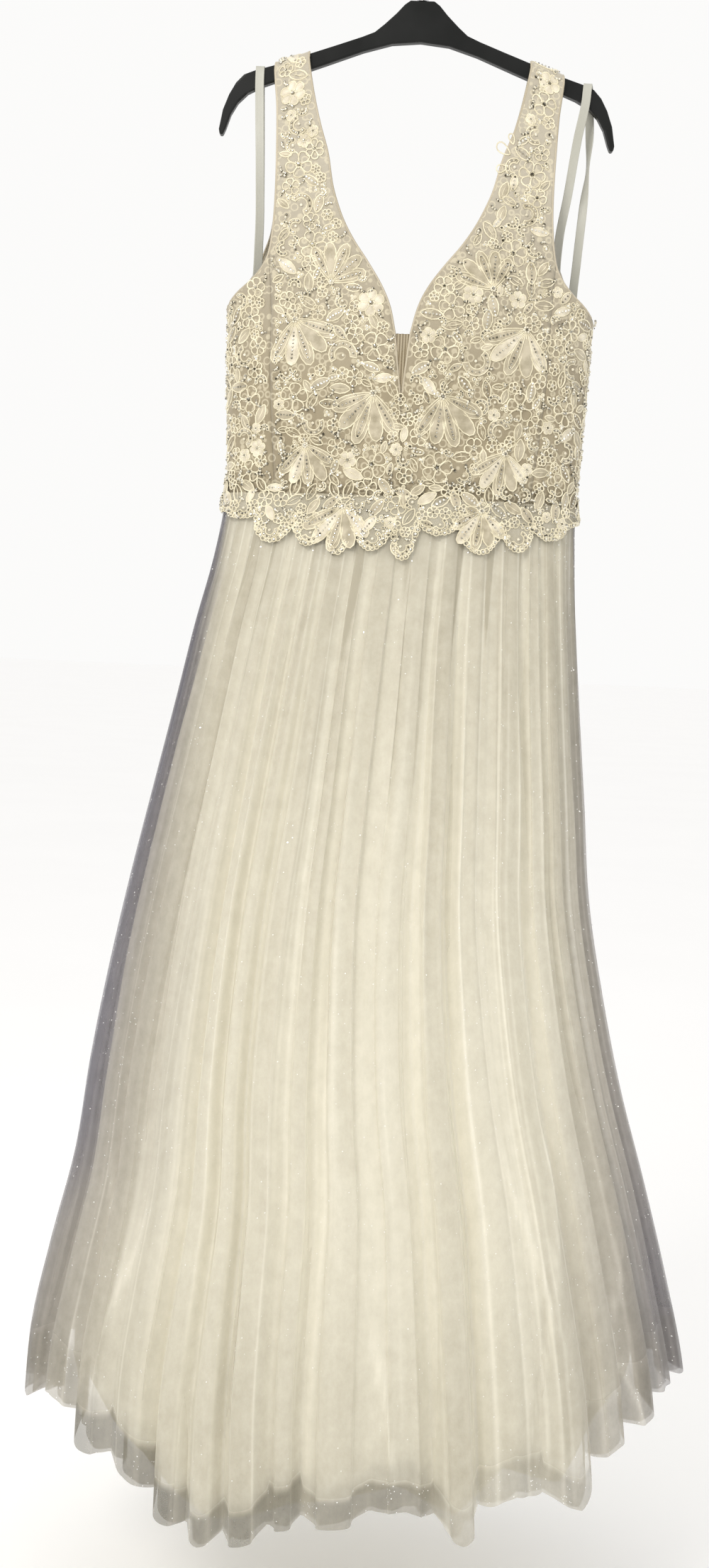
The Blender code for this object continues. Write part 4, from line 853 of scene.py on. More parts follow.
# Each layer has a denser material for its hem
TULLE_OUTER = [tulle_material("tulle_outer", 0.52), tulle_material("tulle_outer_hem", 0.64)]
TULLE_INNER = [tulle_material("tulle_inner", 0.42), tulle_material("tulle_inner_hem", 0.55)]
LINING = satin_material("lining_satin", (0.86, 0.815, 0.66), (0.91, 0.87, 0.73), 0.45)
BODICE_CLOTH = net_cloth_material(
    "bodice_cloth", (0.23, 0.187, 0.115), (0.37, 0.315, 0.214), (0.43, 0.390, 0.308))
BINDING = satin_material("edge_binding", (0.42, 0.365, 0.265), (0.54, 0.475, 0.36), 0.4)
CORD = thread_material("lace_cord", (0.62, 0.555, 0.385), (0.84, 0.77, 0.57), 0.38)
PETAL = thread_material("lace_petal", (0.33, 0.285, 0.190), (0.52, 0.46, 0.335), 0.45)
SATIN_FILL = thread_material("lace_satin_fill", (0.52, 0.46, 0.34), (0.72, 0.66, 0.52), 0.32)
PEARL = bead_material("pearl", (0.66, 0.60, 0.45), (0.84, 0.79, 0.65), 0.0, 0.16, 0.6)
# Crystals run from near black to bright: partly the stones' own silver, partly painted dark reflection
CRYSTAL = bead_material("crystal", (0.07, 0.062, 0.045), (0.80, 0.77, 0.68), 0.95, 0.12, 0.3)
SEQUIN = bead_material("sequin", (0.55, 0.52, 0.42), (0.95, 0.93, 0.86), 0.7, 0.16, 0.5)
GLITTER = bead_material("glitter", (0.90, 0.89, 0.86), (1.0, 0.99, 0.96), 0.4, 0.2, 0.3)
NOTCH_NET = sheer_material("notch_net", (0.20, 0.155, 0.09), (0.44, 0.375, 0.26), 0.82, 105.0)
BORDER_NET = sheer_material("border_net", (0.60, 0.55, 0.42), (0.72, 0.67, 0.54), 0.30)
RIBBON = satin_material("ribbon_satin", (0.415, 0.41, 0.355), (0.505, 0.50, 0.445), 0.38, 0.15, 260.0)
PLASTIC = plastic_material()
STEEL = steel_material()


# Bodice

def half_edges(z, side, hand):
    """Inner and outer edge of one half of the bodice, outwards from the centre line."""
    z = np.atleast_1d(np.asarray(z, float))
    level = np.minimum(z, SHOULDER_Z)
    half = SEAM_GAP / 2
    v_low = NOTCH_TOP_Z if side > 0 else BACK_V_Z
    seam_top = NOTCH_LOW_Z if side > 0 else BACK_V_Z - BACK_V_SEAM
    tip = NOTCH_TIP_HALF if side > 0 else half
    neck = cloth_distance(NECK_X[side](level), level, side)
    at_v = cloth_distance(NECK_X[side](v_low), v_low, side)[0]
    wedge = np.interp(z, [seam_top, v_low], [tip, at_v])
    inner = np.where(z > v_low, neck, np.where(z > seam_top, wedge, half)) + hand * LEAN(z)
    armhole = cloth_distance(ARM_X[side](level), level, side)
    outer = np.where(z > UNDERARM_Z, np.minimum(armhole, side_distance(level, side)), 0.0)
    outer = np.where(z > UNDERARM_Z, outer, side_distance(level, side) - half)
    return inner, outer


def princess_line(z):
    return cloth_distance(PRINCESS_X(z), z, 1)


BODICE_ROWS = np.concatenate([
    np.linspace(WAIST_Z, SHOULDER_Z, 76),
    np.linspace(SHOULDER_Z, WRAP_TOP_Z - SEAM_GAP / 2, 7)[1:],
])
CLOTH_RIPPLE = 0.00035
CLOTH_INSET = 0.0002
PANEL_COLUMNS = 24
SIDE_COLUMNS = 16
BACK_COLUMNS = 30
SIDE_TOP_Z = -0.337
SIDE_ROWS = 60


def cloth_ripple(s, z):
    """Slight unevenness of hanging cloth, largest away from the seams."""
    wave = np.sin(160 * s + 70 * z) + np.sin(95 * z - 60 * s + 1.3) + 0.6 * np.sin(240 * z + 30 * s)
    return CLOTH_RIPPLE * wave / 2


def panel_shell(node, side, hand, inner, outer, z, columns):
    """A cloth wall between two edges, read row by row, in place of a panel of the part."""
    share = np.linspace(0, 1, columns)[None, :]
    s = hand * (inner[:, None] + (outer - inner)[:, None] * share)
    z = np.broadcast_to(z[:, None], s.shape)
    ripple = cloth_ripple(s, z) * np.sin(math.pi * share) ** 0.5
    outside = BODICE[side].at(s, z, ripple - CLOTH_INSET)
    inside = BODICE[side].at(s, z, ripple - CLOTH_INSET - PANEL_WALL)
    piece = wall_mesh(f"cloth_{node}", outside, inside, [BODICE_CLOTH])
    ride_and_slot(piece, "bodice_lace", node)


def build_bodice():
    """Front, side front and back panels of both halves."""
    half = SEAM_GAP / 2
    for hand in (-1, 1):
        word = HAND_NAME[hand]
        z = BODICE_ROWS
        inner, armhole = half_edges(z, 1, hand)
        seam = princess_line(np.minimum(z, PRINCESS[0].z)) - half
        seam = np.where(z > PRINCESS[0].z, armhole, seam)
        panel_shell(f"front_{word}", 1, hand, inner, seam, z, PANEL_COLUMNS)
        z = np.linspace(WAIST_Z, SIDE_TOP_Z, SIDE_ROWS)
        _, outer = half_edges(z, 1, hand)
        panel_shell(f"side_front_{word}", 1, hand, princess_line(z) + half, outer, z, SIDE_COLUMNS)
        z = BODICE_ROWS
        inner, outer = half_edges(z, -1, hand)
        panel_shell(f"back_{word}", -1, hand, inner, outer, z, BACK_COLUMNS)


NOTCH_SUNK = 0.0008
NOTCH_WALL = 0.0003
NOTCH_PLEAT = 0.0005
NOTCH_LOW_HALF = 0.0002


def build_notch():
    """Sheer wedge below the neckline, with soft pleats down it."""
    z = np.linspace(NOTCH_LOW_Z + NOTCH_SEAM, NOTCH_TOP_Z, 26)
    top = cloth_distance(NECK_X[1](NOTCH_TOP_Z), NOTCH_TOP_Z, 1)[0] - SEAM_GAP
    half = np.interp(z, [z[0], z[-1]], [NOTCH_LOW_HALF, top])[:, None]
    share = np.linspace(-1, 1, 15)[None, :]
    s = half * share + LEAN(z)[:, None]
    pleat = NOTCH_PLEAT * np.cos(3 * math.pi * share) * (half / top)
    z = np.broadcast_to(z[:, None], s.shape)
    outside = BODICE[1].at(s, z, pleat - NOTCH_SUNK)
    inside = BODICE[1].at(s, z, pleat - NOTCH_SUNK - NOTCH_WALL)
    piece = wall_mesh("notch_net", outside, inside, [NOTCH_NET])
    ride_and_slot(piece, "notch_tulle", "notch_mesh")


def build_placket():
    """Lap over the concealed closure down the centre back, with soft rounded edges."""
    top = BACK_V_Z - BACK_V_SEAM - PLACKET_HALF / 2
    z = np.linspace(WAIST_Z, top, 60)[:, None]
    share = np.linspace(-1, 1, 13)[None, :]
    s = PLACKET_HALF * share + LEAN(z)
    z = np.broadcast_to(z, s.shape)
    crown = PLACKET_WALL * (1 - 0.7 * np.abs(share) ** 6)
    outside = BODICE[-1].at(s, z, PLACKET_LIFT + crown + 0 * s)
    inside = BODICE[-1].at(s, z, PLACKET_LIFT + 0 * s)
    piece = wall_mesh("placket_lap", outside, inside, [BINDING])
    ride_and_slot(piece, "bodice_lace", "back_placket")


# Lace

KIND_CORD, KIND_PETAL, KIND_PEARL, KIND_CRYSTAL, KIND_SEQUIN, KIND_BINDING, KIND_SATIN = range(7)
KIND_MATERIALS = (CORD, PETAL, PEARL, CRYSTAL, SEQUIN, BINDING, SATIN_FILL)


def half_bead():
    """The part of a bead that stands out of the lace, in 16 triangles."""
    points = [Vector(p) for p in ((1, 0, 0), (-1, 0, 0), (0, 1, 0), (0, -1, 0), (0, 0, 1), (0, 0, -1))]
    faces = [(0, 2, 4), (2, 1, 4), (1, 3, 4), (3, 0, 4), (2, 0, 5), (1, 2, 5), (3, 1, 5), (0, 3, 5)]
    middles, fine = {}, []

    def middle(a, b):
        key = (min(a, b), max(a, b))
        if key not in middles:
            points.append(((points[a] + points[b]) / 2).normalized())
            middles[key] = len(points) - 1
        return middles[key]

    for a, b, c in faces:
        ab, bc, ca = middle(a, b), middle(b, c), middle(c, a)
        fine += [(a, ab, ca), (ab, b, bc), (ca, bc, c), (ab, bc, ca)]
    points = np.array([tuple(p) for p in points])
    faces = np.array(fine)
    faces = faces[points[faces, 2].min(axis=1) > -0.01]
    used, packed = np.unique(faces, return_inverse=True)
    return points[used], packed.reshape(faces.shape)


BEAD_POINTS, BEAD_FACES = half_bead()
ROUND_CORD = np.arange(5) * 2 * math.pi / 5 + math.pi / 2
LAID_CORD = np.array([-0.35, 0.85, math.pi - 0.85, math.pi + 0.35])
STONE_SIDES = 6
STONE_TABLE = 0.6
SEQUIN_SIDES = 8
SEQUIN_CUP = 0.25


def circle(spot, radius, angles):
    return np.column_stack([spot[0] + radius * np.cos(angles), spot[1] + radius * np.sin(angles)])


class Lace:
    """Small shapes in cloth coordinates (along, up, out), made into one mesh at the end."""

    def __init__(self):
        self.points, self.faces, self.kinds, self.count = [], [], [], 0

    def add(self, points, faces, kind):
        self.points.append(points)
        self.faces.append(faces + self.count)
        self.kinds.append(np.full(len(faces), kind))
        self.count += len(points)

    def cord(self, path, radius, lift=0.0, closed=False, kind=KIND_CORD, section=LAID_CORD):
        """A thread along a line of points; a laid one is open where it is sewn to the net."""
        path = np.asarray(path, float)
        ahead = np.roll(path, -1, axis=0) - np.roll(path, 1, axis=0)
        if not closed:
            ahead[0] = path[1] - path[0]
            ahead[-1] = path[-1] - path[-2]
        ahead /= np.linalg.norm(ahead, axis=1, keepdims=True) + 1e-12
        across = np.stack([-ahead[:, 1], ahead[:, 0]], axis=-1)
        size = np.full(len(path), radius)
        if not closed:
            size[[0, -1]] *= 0.1
        flat = path[:, None, :] + across[:, None, :] * (size[:, None] * np.cos(section))[..., None]
        out = lift + radius * 0.3 + size[:, None] * np.sin(section)
        points = np.concatenate([flat, out[..., None]], axis=-1).reshape(-1, 3)
        rows, sides, whole = len(path), len(section), section is ROUND_CORD
        faces = grid_faces(rows, sides, closed=whole)
        if closed:
            j = np.arange(sides if whole else sides - 1)
            after = (j + 1) % sides
            last = (rows - 1) * sides
            faces = np.vstack([faces, np.stack([last + j, last + after, after, j], axis=-1)])
        self.add(points, split_quads(faces), kind)

    def dome(self, outline, height, kind=KIND_PETAL, lift=0.0002, ring=0.55):
        """A padded petal inside an outline."""
        outline = np.asarray(outline, float)
        middle = outline.mean(axis=0)
        count = len(outline)
        inner = middle + (outline - middle) * ring
        edge = np.column_stack([outline, np.full(count, lift)])
        crown = np.column_stack([inner, np.full(count, lift + height)])
        top = np.array([[*middle, lift + height * 0.8]])
        self.add(np.vstack([edge, crown, top]), capped_rings(count), kind)

    def bead(self, spot, radius, kind=KIND_PEARL, lift=0.0):
        centre = np.array([spot[0], spot[1], lift + radius * 0.25])
        self.add(BEAD_POINTS * (radius, radius, 1.35 * radius) + centre, BEAD_FACES, kind)

    def crystal(self, spot, radius, turn=0.0, lift=0.0):
        """A cut stone in its setting: six sides up to a flat table."""
        ring = np.arange(STONE_SIDES) * 2 * math.pi / STONE_SIDES + turn
        base = circle(spot, radius, ring)
        table = circle(spot, STONE_TABLE * radius, ring + 0.5)
        points = np.vstack([
            np.column_stack([base, np.full(STONE_SIDES, lift)]),
            np.column_stack([table, np.full(STONE_SIDES, lift + 0.95 * radius)]),
            [[spot[0], spot[1], lift + 1.05 * radius]],
        ])
        self.add(points, capped_rings(STONE_SIDES), KIND_CRYSTAL)

    def sequin(self, spot, radius, tilt, lift=0.0004):
        """A cupped disc, leaning a little."""
        j = np.arange(SEQUIN_SIDES)
        ring = j * 2 * math.pi / SEQUIN_SIDES
        lean = radius * tilt[0] * np.cos(ring) + radius * tilt[1] * np.sin(ring)
        rim = np.column_stack([circle(spot, radius, ring), lift + SEQUIN_CUP * radius + lean])
        points = np.vstack([rim, [[spot[0], spot[1], lift]]])
        faces = np.stack([j, (j + 1) % SEQUIN_SIDES, np.full(SEQUIN_SIDES, SEQUIN_SIDES)], axis=-1)
        self.add(points, faces, KIND_SEQUIN)

    def build(self, name, place):
        points = np.vstack(self.points)
        faces = np.vstack(self.faces)
        kinds = np.concatenate(self.kinds)
        used = sorted(set(kinds.tolist()))
        slots = np.searchsorted(used, kinds)
        flat = [used.index(k) for k in (KIND_CRYSTAL,) if k in used]
        solid = place(points[:, 0], points[:, 1], points[:, 2])
        return mesh_object(name, solid, faces, [KIND_MATERIALS[k] for k in used], slots, flat)


def turned(points, spot, degrees):
    """Points turned about the origin and moved to a spot."""
    angle = math.radians(degrees)
    c, s = math.cos(angle), math.sin(angle)
    points = np.asarray(points, float)
    return np.column_stack([
        spot[0] + c * points[:, 0] - s * points[:, 1],
        spot[1] + s * points[:, 0] + c * points[:, 1],
    ])


def petal_outline(length, width, count=14, fullness=0.45):
    """A long petal from the origin along +x, wider towards its tip."""
    t = np.arange(count) * 2 * math.pi / count
    along = length * (0.5 - 0.5 * np.cos(t))
    wide = 0.5 * width * np.sin(t) * ((1 - fullness) + fullness * (1 - np.cos(t)))
    return np.column_stack([along, wide])


def leaf_outline(length, width, count=12):
    """A leaf with a point at each end."""
    t = np.arange(count) * 2 * math.pi / count
    along = length * (0.5 - 0.5 * np.cos(t))
    return np.column_stack([along, 0.5 * width * np.sin(t) * np.abs(np.sin(t)) ** 0.6])


CORD_RADIUS = 0.00070
PETAL_HEIGHT = 0.0007
STONE_GAP = 0.0036
STONE_RADIUS = 0.0012
RIB_STONE_GAP = 0.0033
RIB_STONE_RADIUS = 0.0011
PEARL_RING = 6
FAN_TURN = 25
FAN_PETAL_WIDTH = 0.27
FLOWER_STONE = 0.15
CURL_SWEEP = 225
CURL_INNER = 0.56
CURL_POINTS = 13


class Drawer:
    """Draws lace motifs into a lace mesh and a bead mesh, with a seeded unevenness."""

    def __init__(self, seed):
        self.random = random.Random(seed)
        self.lace, self.beads = Lace(), Lace()

    def vary(self, value, share=0.12):
        return value * (1 + share * (2 * self.random.random() - 1))

    def tilt(self):
        return (0.5 * (self.random.random() - 0.5), 0.5 * (self.random.random() - 0.5))

    def row(self, start, end, spacing, radius, kind):
        """Stones, pearls or sequins in a row."""
        start, end = np.asarray(start), np.asarray(end)
        count = max(2, int(np.linalg.norm(end - start) / spacing) + 1)
        for k in range(count):
            spot = start + (end - start) * k / (count - 1)
            self.stone(spot, self.vary(radius), kind)

    def stone(self, spot, radius, kind):
        if kind == KIND_CRYSTAL:
            self.beads.crystal(spot, radius, 6 * self.random.random(), 0.0007)
        elif kind == KIND_SEQUIN:
            self.beads.sequin(spot, radius, self.tilt(), 0.0009)
        else:
            self.beads.bead(spot, radius, kind, 0.0004)

    def petal(self, spot, degrees, length, width, kind=None, double=False, fill=None):
        outline = turned(petal_outline(length, width), spot, degrees)
        if fill is not None:
            self.lace.dome(outline, PETAL_HEIGHT, fill)
        self.lace.cord(outline, self.vary(CORD_RADIUS), closed=True)
        if double:
            inner = petal_outline(length * 0.8, width * 0.55) + (length * 0.08, 0)
            self.lace.cord(turned(inner, spot, degrees), 0.7 * CORD_RADIUS, 0.0008, closed=True)
        if kind is not None:
            ends = turned([(0.28 * length, 0.0), (0.84 * length, 0.0)], spot, degrees)
            self.row(ends[0], ends[1], STONE_GAP, STONE_RADIUS, kind)

    def fan(self, spot, size, degrees, satin_share=0.35):
        """Five long petals from one root, stones down every other one."""
        for k in range(-2, 3):
            length = size * (1.0 - 0.05 * abs(k)) * self.vary(1.0, 0.06)
            kind = None if k == 1 else KIND_CRYSTAL
            fill = KIND_SATIN if k in (-1, 2) and self.random.random() < satin_share else KIND_PETAL
            ray = degrees + FAN_TURN * k
            self.petal(spot, ray, length, size * FAN_PETAL_WIDTH, kind, k % 2 == 0, fill)
        for k in range(PEARL_RING):
            ring = turned([(size * 0.05, 0.0)], spot, degrees + 360 / PEARL_RING * k)[0]
            self.beads.bead(ring, 0.0013, KIND_PEARL, 0.0006)
        self.beads.crystal(spot, 0.0019, 0.3, 0.0012)
        for hand in (-1, 1):
            stem = size * np.array([(0, 0), (-0.08, 0.05), (-0.2, 0.14), (-0.26, 0.26)]) * (1, hand)
            stem = turned(stem, spot, degrees)
            self.lace.cord(stem, CORD_RADIUS)
            self.beads.bead(stem[-1], 0.0012, KIND_PEARL)

    def flower(self, spot, size, degrees):
        """Round petals with corded rims round a stone and small pearls."""
        count = 5 if self.random.random() < 0.7 else 6
        satin = self.random.random() < 0.12
        for k in range(count):
            ray = degrees + 360 * k / count
            root = turned([(0.16 * size, 0)], spot, ray)[0]
            fill = KIND_SATIN if satin else None
            self.petal(root, ray, 0.84 * size, 0.78 * size * 5 / count, fill=fill)
        self.beads.crystal(spot, FLOWER_STONE * size, 0.2, 0.0009)
        for k in range(PEARL_RING):
            ring = turned([(0.27 * size, 0.0)], spot, degrees + 360 / PEARL_RING * k + 20)[0]
            self.beads.bead(ring, 0.0008, KIND_PEARL, 0.0007)

    def curl(self, spot, size, degrees):
        """A C-shaped channel between two cords, filled with stones."""
        count = CURL_POINTS
        sweep = np.radians(np.linspace(0, CURL_SWEEP, count))
        fade = np.linspace(1.0, 0.82, count)
        outer = circle((0, 0), size * fade, sweep)
        inner = circle((0, 0), CURL_INNER * size * fade, sweep)[::-1]
        loop = turned(np.vstack([outer, inner]), spot, degrees)
        left, right = loop[:count], loop[count:][::-1]
        self.strip(left, right, 0.0005)
        self.lace.cord(loop, self.vary(CORD_RADIUS), closed=True)
        middle = (left + right) / 2
        for k in range(1, count - 1):
            kind = KIND_CRYSTAL if k % 2 else KIND_PEARL
            self.stone(middle[k], 0.0011 if k % 2 else 0.0009, kind)
        self.beads.bead(turned([(0.1 * size, 0.0)], spot, degrees)[0], 0.0016, KIND_PEARL)

    def strip(self, left, right, height):
        """A low band between two lines, raised along its middle."""
        count = len(left)
        middle = (left + right) / 2
        rows = np.stack([left, middle, right], axis=1)
        out = np.array([0.0002, 0.0002 + height, 0.0002])
        points = np.concatenate([rows, np.broadcast_to(out[None, :, None], (count, 3, 1))], axis=-1)
        quads = grid_faces(count, 3)
        self.lace.add(points.reshape(-1, 3), split_quads(quads), KIND_PETAL)

    def leaf(self, spot, size, degrees):
        """A pointed leaf with a midrib."""
        root = turned([(-size, 0)], spot, degrees)[0]
        outline = turned(leaf_outline(2 * size, 0.95 * size), root, degrees)
        if self.random.random() < 0.6:
            fill = KIND_SATIN if self.random.random() < 0.2 else KIND_PETAL
            self.lace.dome(outline, PETAL_HEIGHT, fill)
        self.lace.cord(outline, self.vary(CORD_RADIUS), closed=True)
        rib = turned([(0.15 * size, 0), (0.8 * size, 0.06 * size), (1.7 * size, 0)], root, degrees)
        if self.random.random() < 0.5:
            kind = self.random.choice((KIND_CRYSTAL, KIND_SEQUIN))
            self.row(rib[0], rib[2], RIB_STONE_GAP, RIB_STONE_RADIUS, kind)
        else:
            self.lace.cord(rib, 0.75 * CORD_RADIUS, 0.0007)

    def rings(self, spot, size, degrees):
        """Three small loops round a pearl."""
        for k in range(3):
            ray = degrees + 120 * k
            centre = turned([(0.55 * size, 0)], spot, ray)[0]
            loop = petal_outline(0.85 * size, 0.75 * size, 9, 0.1) - (0.42 * size, 0)
            self.lace.cord(turned(loop, centre, ray), 0.85 * CORD_RADIUS, closed=True)
            self.stone(centre, 0.0011, self.random.choice((KIND_SEQUIN, KIND_PEARL, KIND_CRYSTAL)))
        self.beads.bead(spot, 0.0012, KIND_PEARL, 0.0003)

    def spray(self, spot, size, degrees):
        """A curved stem with pearls that get smaller."""
        t = np.linspace(0, 1, 6)
        bend = self.random.choice((-1, 1))
        path = np.column_stack([size * (2 * t - 1), bend * size * 0.7 * np.sin(2.4 * t)])
        path = turned(path, spot, degrees)
        self.lace.cord(path, 0.8 * CORD_RADIUS)
        for k, where in enumerate(path[1:]):
            self.stone(where, 0.0015 - 0.00014 * k, KIND_PEARL if k % 2 else KIND_CRYSTAL)

    def draw(self, kind, spot, size, degrees):
        getattr(self, kind)(spot, size, degrees)


Filler = namedtuple("Filler", "kind size tries")
FILLERS = rows_of(Filler, (
    ("leaf", 0.0105, 300), ("flower", 0.0095, 600), ("curl", 0.0085, 700), ("leaf", 0.0075, 500),
    ("flower", 0.0062, 1400), ("curl", 0.0058, 900), ("rings", 0.0048, 1600),
    ("spray", 0.0055, 1500), ("rings", 0.0034, 2600), ("spray", 0.0034, 2200),
))
LACE_EDGE = 0.0045
CENTRE_MOTIFS = rows_of(Motif, (
    ("rings", 0.0005, -0.4900, 0.0042, 30), ("flower", 0.0010, -0.5030, 0.0070, 10),
    ("leaf", -0.0020, -0.5180, 0.0080, 80), ("rings", 0.0020, -0.5300, 0.0048, 0),
    ("curl", -0.0010, -0.5440, 0.0080, 140), ("flower", 0.0010, -0.5600, 0.0085, 40),
    ("rings", -0.0010, -0.5740, 0.0046, 60), ("leaf", 0.0015, -0.5860, 0.0080, 100),
))
BARE_STRIP = {-1: 0.0050, 1: 0.0010}
BARE_STRIP_TOP = -0.350
MOTIF_REACH = {"fan": 0.62, "flower": 1.05, "curl": 1.05, "leaf": 0.8, "rings": 1.15, "spray": 0.8}
FAN_MIDDLE = 0.52
FILL_MARGIN = 0.72
BODICE_CLOSENESS = 0.80
BORDER_CLOSENESS = 0.78
LACE_REACH = 0.235


def motif_disc(kind, spot, size, degrees):
    """The round patch that a motif covers: its middle and radius."""
    if kind == "fan":
        middle = turned([(FAN_MIDDLE * size, 0.0)], spot, degrees)[0]
        return middle, MOTIF_REACH[kind] * size
    return np.asarray(spot, float), MOTIF_REACH[kind] * size


def fill(drawer, discs, inside, low, high, closeness):
    """Scatter small motifs, largest first, where there is room for them."""
    pick = drawer.random
    for filler in FILLERS:
        for _ in range(filler.tries):
            size = filler.size * (0.85 + 0.3 * pick.random())
            spot = tuple(a + (b - a) * pick.random() for a, b in zip(low, high))
            degrees = 360 * pick.random()
            radius = MOTIF_REACH[filler.kind] * size
            if not inside(spot, FILL_MARGIN * radius):
                continue
            if all(math.dist(spot, middle) > closeness * (radius + other) for middle, other in discs):
                drawer.draw(filler.kind, spot, size, degrees)
                discs.append((spot, radius))


NOTCH_EDGE = 0.0006
NOTCH_CLEAR = 0.004


def bodice_lace(side, hand, seed, taken):
    """Lace and beads of one half of the bodice, from the strap to the waist."""
    drawer = Drawer(seed)
    edge_of_seam = 0.0 if side > 0 else PLACKET_HALF
    heights = np.linspace(WAIST_Z, WRAP_TOP_Z, 240)
    inner_edge, outer_edge = half_edges(heights, side, hand)
    princess = princess_line(np.minimum(heights, PRINCESS[0].z))

    def inside(spot, margin):
        s, z = hand * spot[0], spot[1]
        if not WAIST_Z - 0.002 < z < WRAP_TOP_Z - 0.3 * margin:
            return False
        edge = LACE_EDGE if z > NOTCH_TOP_Z else NOTCH_EDGE
        if z > NOTCH_LOW_Z + NOTCH_CLEAR and s < np.interp(z, heights, inner_edge) + margin + edge:
            return False
        if s < edge_of_seam + 0.9 * margin:
            return False
        if s > np.interp(z, heights, outer_edge) - margin - (LACE_EDGE if z > UNDERARM_Z - 0.01 else 0.0):
            return False
        if side > 0 and z < BARE_STRIP_TOP:
            return abs(s - np.interp(z, heights, princess)) > BARE_STRIP[hand] + 0.8 * margin
        return True

    discs = list(taken)
    for motif in FRONT_MOTIFS if side > 0 else BACK_MOTIFS:
        s = float(cloth_distance(motif.x, motif.z, side)[0])
        spot = (hand * s, motif.z)
        degrees = motif.angle if hand > 0 else 180 - motif.angle
        middle, radius = motif_disc(motif.kind, spot, motif.size, degrees)
        if inside(middle, 0.35 * radius):
            drawer.draw(motif.kind, spot, motif.size, degrees)
            discs.append((middle, radius))
    if side > 0 and hand < 0:
        for motif in CENTRE_MOTIFS:
            drawer.draw(motif.kind, (motif.x, motif.z), motif.size, motif.angle)
    low = (min(0.0, hand * LACE_REACH), WAIST_Z)
    high = (max(0.0, hand * LACE_REACH), WRAP_TOP_Z)
    fill(drawer, discs, inside, low, high, BODICE_CLOSENESS)
    return drawer


BINDING_RADIUS = 0.0013
BINDING_SUNK = 0.0014
BINDING_INSET = 0.0002


def edge_cords(drawer, side, hand):
    """Rolled binding along the neck and the armhole."""
    v_low = NOTCH_LOW_Z if side > 0 else BACK_V_Z - BACK_V_SEAM
    edges = ((0, v_low, 90, BINDING_INSET), (1, UNDERARM_Z + 0.001, 80, -BINDING_INSET))
    for edge, low, count, inset in edges:
        z = np.linspace(WRAP_TOP_Z - SEAM_GAP, low, count)
        s = hand * (half_edges(z, side, hand)[edge] + inset)
        drawer.lace.cord(
            np.column_stack([s, z]), BINDING_RADIUS, -BINDING_SUNK, kind=KIND_BINDING, section=ROUND_CORD)


def finish_lace(drawer, side, prefix, word):
    """The cords and the beads, each as one mesh laid on the cloth."""
    def place(s, z, out):
        return lace_at(s, z, side, out)

    for kind, part in (("lace", drawer.lace), ("beads", drawer.beads)):
        ride_and_slot(part.build(f"{prefix}{kind}_{word}", place), "bodice_lace")


def build_bodice_lace(taken):
    """Lace of the four quarters; taken has the patches that the border's motifs cover."""
    for side in (1, -1):
        centre = [((m.x, m.z), MOTIF_REACH[m.kind] * m.size) for m in CENTRE_MOTIFS] if side > 0 else []
        for hand in (-1, 1):
            drawer = bodice_lace(side, hand, 11 + 7 * side + 3 * hand, taken[side] + centre)
            edge_cords(drawer, side, hand)
            if side > 0 and hand > 0:
                neck_loop(drawer)
            finish_lace(drawer, side, "", f"{SIDE_NAME[side]}_{HAND_NAME[hand]}")


NECK_LOOP_Z = -0.222
NECK_LOOPS = ((0.005, 0.0, 0.016, 150), (0.003, -0.012, 0.012, 195), (0.008, 0.010, 0.010, 110))


def neck_loop(drawer):
    """Corded loops of a motif that stands over the right strap's neck edge."""
    inner, _ = half_edges(NECK_LOOP_Z, 1, 1)
    for shift, rise, size, degrees in NECK_LOOPS:
        loop = turned(petal_outline(size, size * 0.55), (inner[0] + shift, NECK_LOOP_Z + rise), degrees)
        drawer.lace.cord(loop, CORD_RADIUS, closed=True, section=ROUND_CORD)


# Border of the lace below the waist

def border_low(side):
    """The scalloped lower edge as heights over the distance from the centre line."""
    reach = float(side_distance(BORDER_TOP_Z, side)[0]) - SEAM_GAP
    s_values, z_values = [-reach], [BORDER_END_Z]
    for row in SCALLOPS[side]:
        for t in math.pi * (np.arange(9) + 0.5) / 9:
            s_values.append(float(cloth_distance(row.x - row.half * math.cos(t), row.low, side)[0]))
            z_values.append(BORDER_VALLEY_Z + (row.low - BORDER_VALLEY_Z) * math.sin(t))
    return np.array(s_values + [reach]), np.array(z_values + [BORDER_END_Z])


BORDER_FANS = (3, 7)
BORDER_NET_COLUMNS = 180
BORDER_NET_ROWS = 20
BORDER_NET_WALL = 0.0004
BORDER_FAN_SIZE = 0.80
BORDER_FAN_RISE = 0.003
BORDER_CURL = 0.0085
BORDER_CURL_VARY = 0.0012
BORDER_CURL_RISE = 0.0025
BORDER_SIDE_MOTIF = 0.0062
BORDER_SIDE_PATCH = 0.0066
BORDER_NET_RISE = 0.003
BORDER_FILL_TOP = WAIST_Z + 0.014
BORDER_FILL_LOW = -0.65
EDGE_RING = 0.0026
EDGE_RING_GAP = 0.0042
EDGE_RING_RISE = 0.0016


def border_net(side):
    """The net that carries the border's lace, as a thin wall."""
    s_low, z_low = border_low(side)
    reach = s_low[-1]
    s = np.linspace(-reach, reach, BORDER_NET_COLUMNS)
    low = np.interp(s, s_low, z_low)[None, :]
    share = np.linspace(0, 1, BORDER_NET_ROWS)[:, None]
    top = WAIST_Z + BORDER_NET_RISE
    z = top + (low - top) * share
    s = np.broadcast_to(s, z.shape)
    outside = lace_at(s, z, side, 0 * s)
    inside = lace_at(s, z, side, 0 * s - BORDER_NET_WALL)
    word = SIDE_NAME[side]
    piece = wall_mesh(f"border_net_{word}", outside, inside, [BORDER_NET])
    ride_and_slot(piece, "bodice_lace", f"border_{word}")


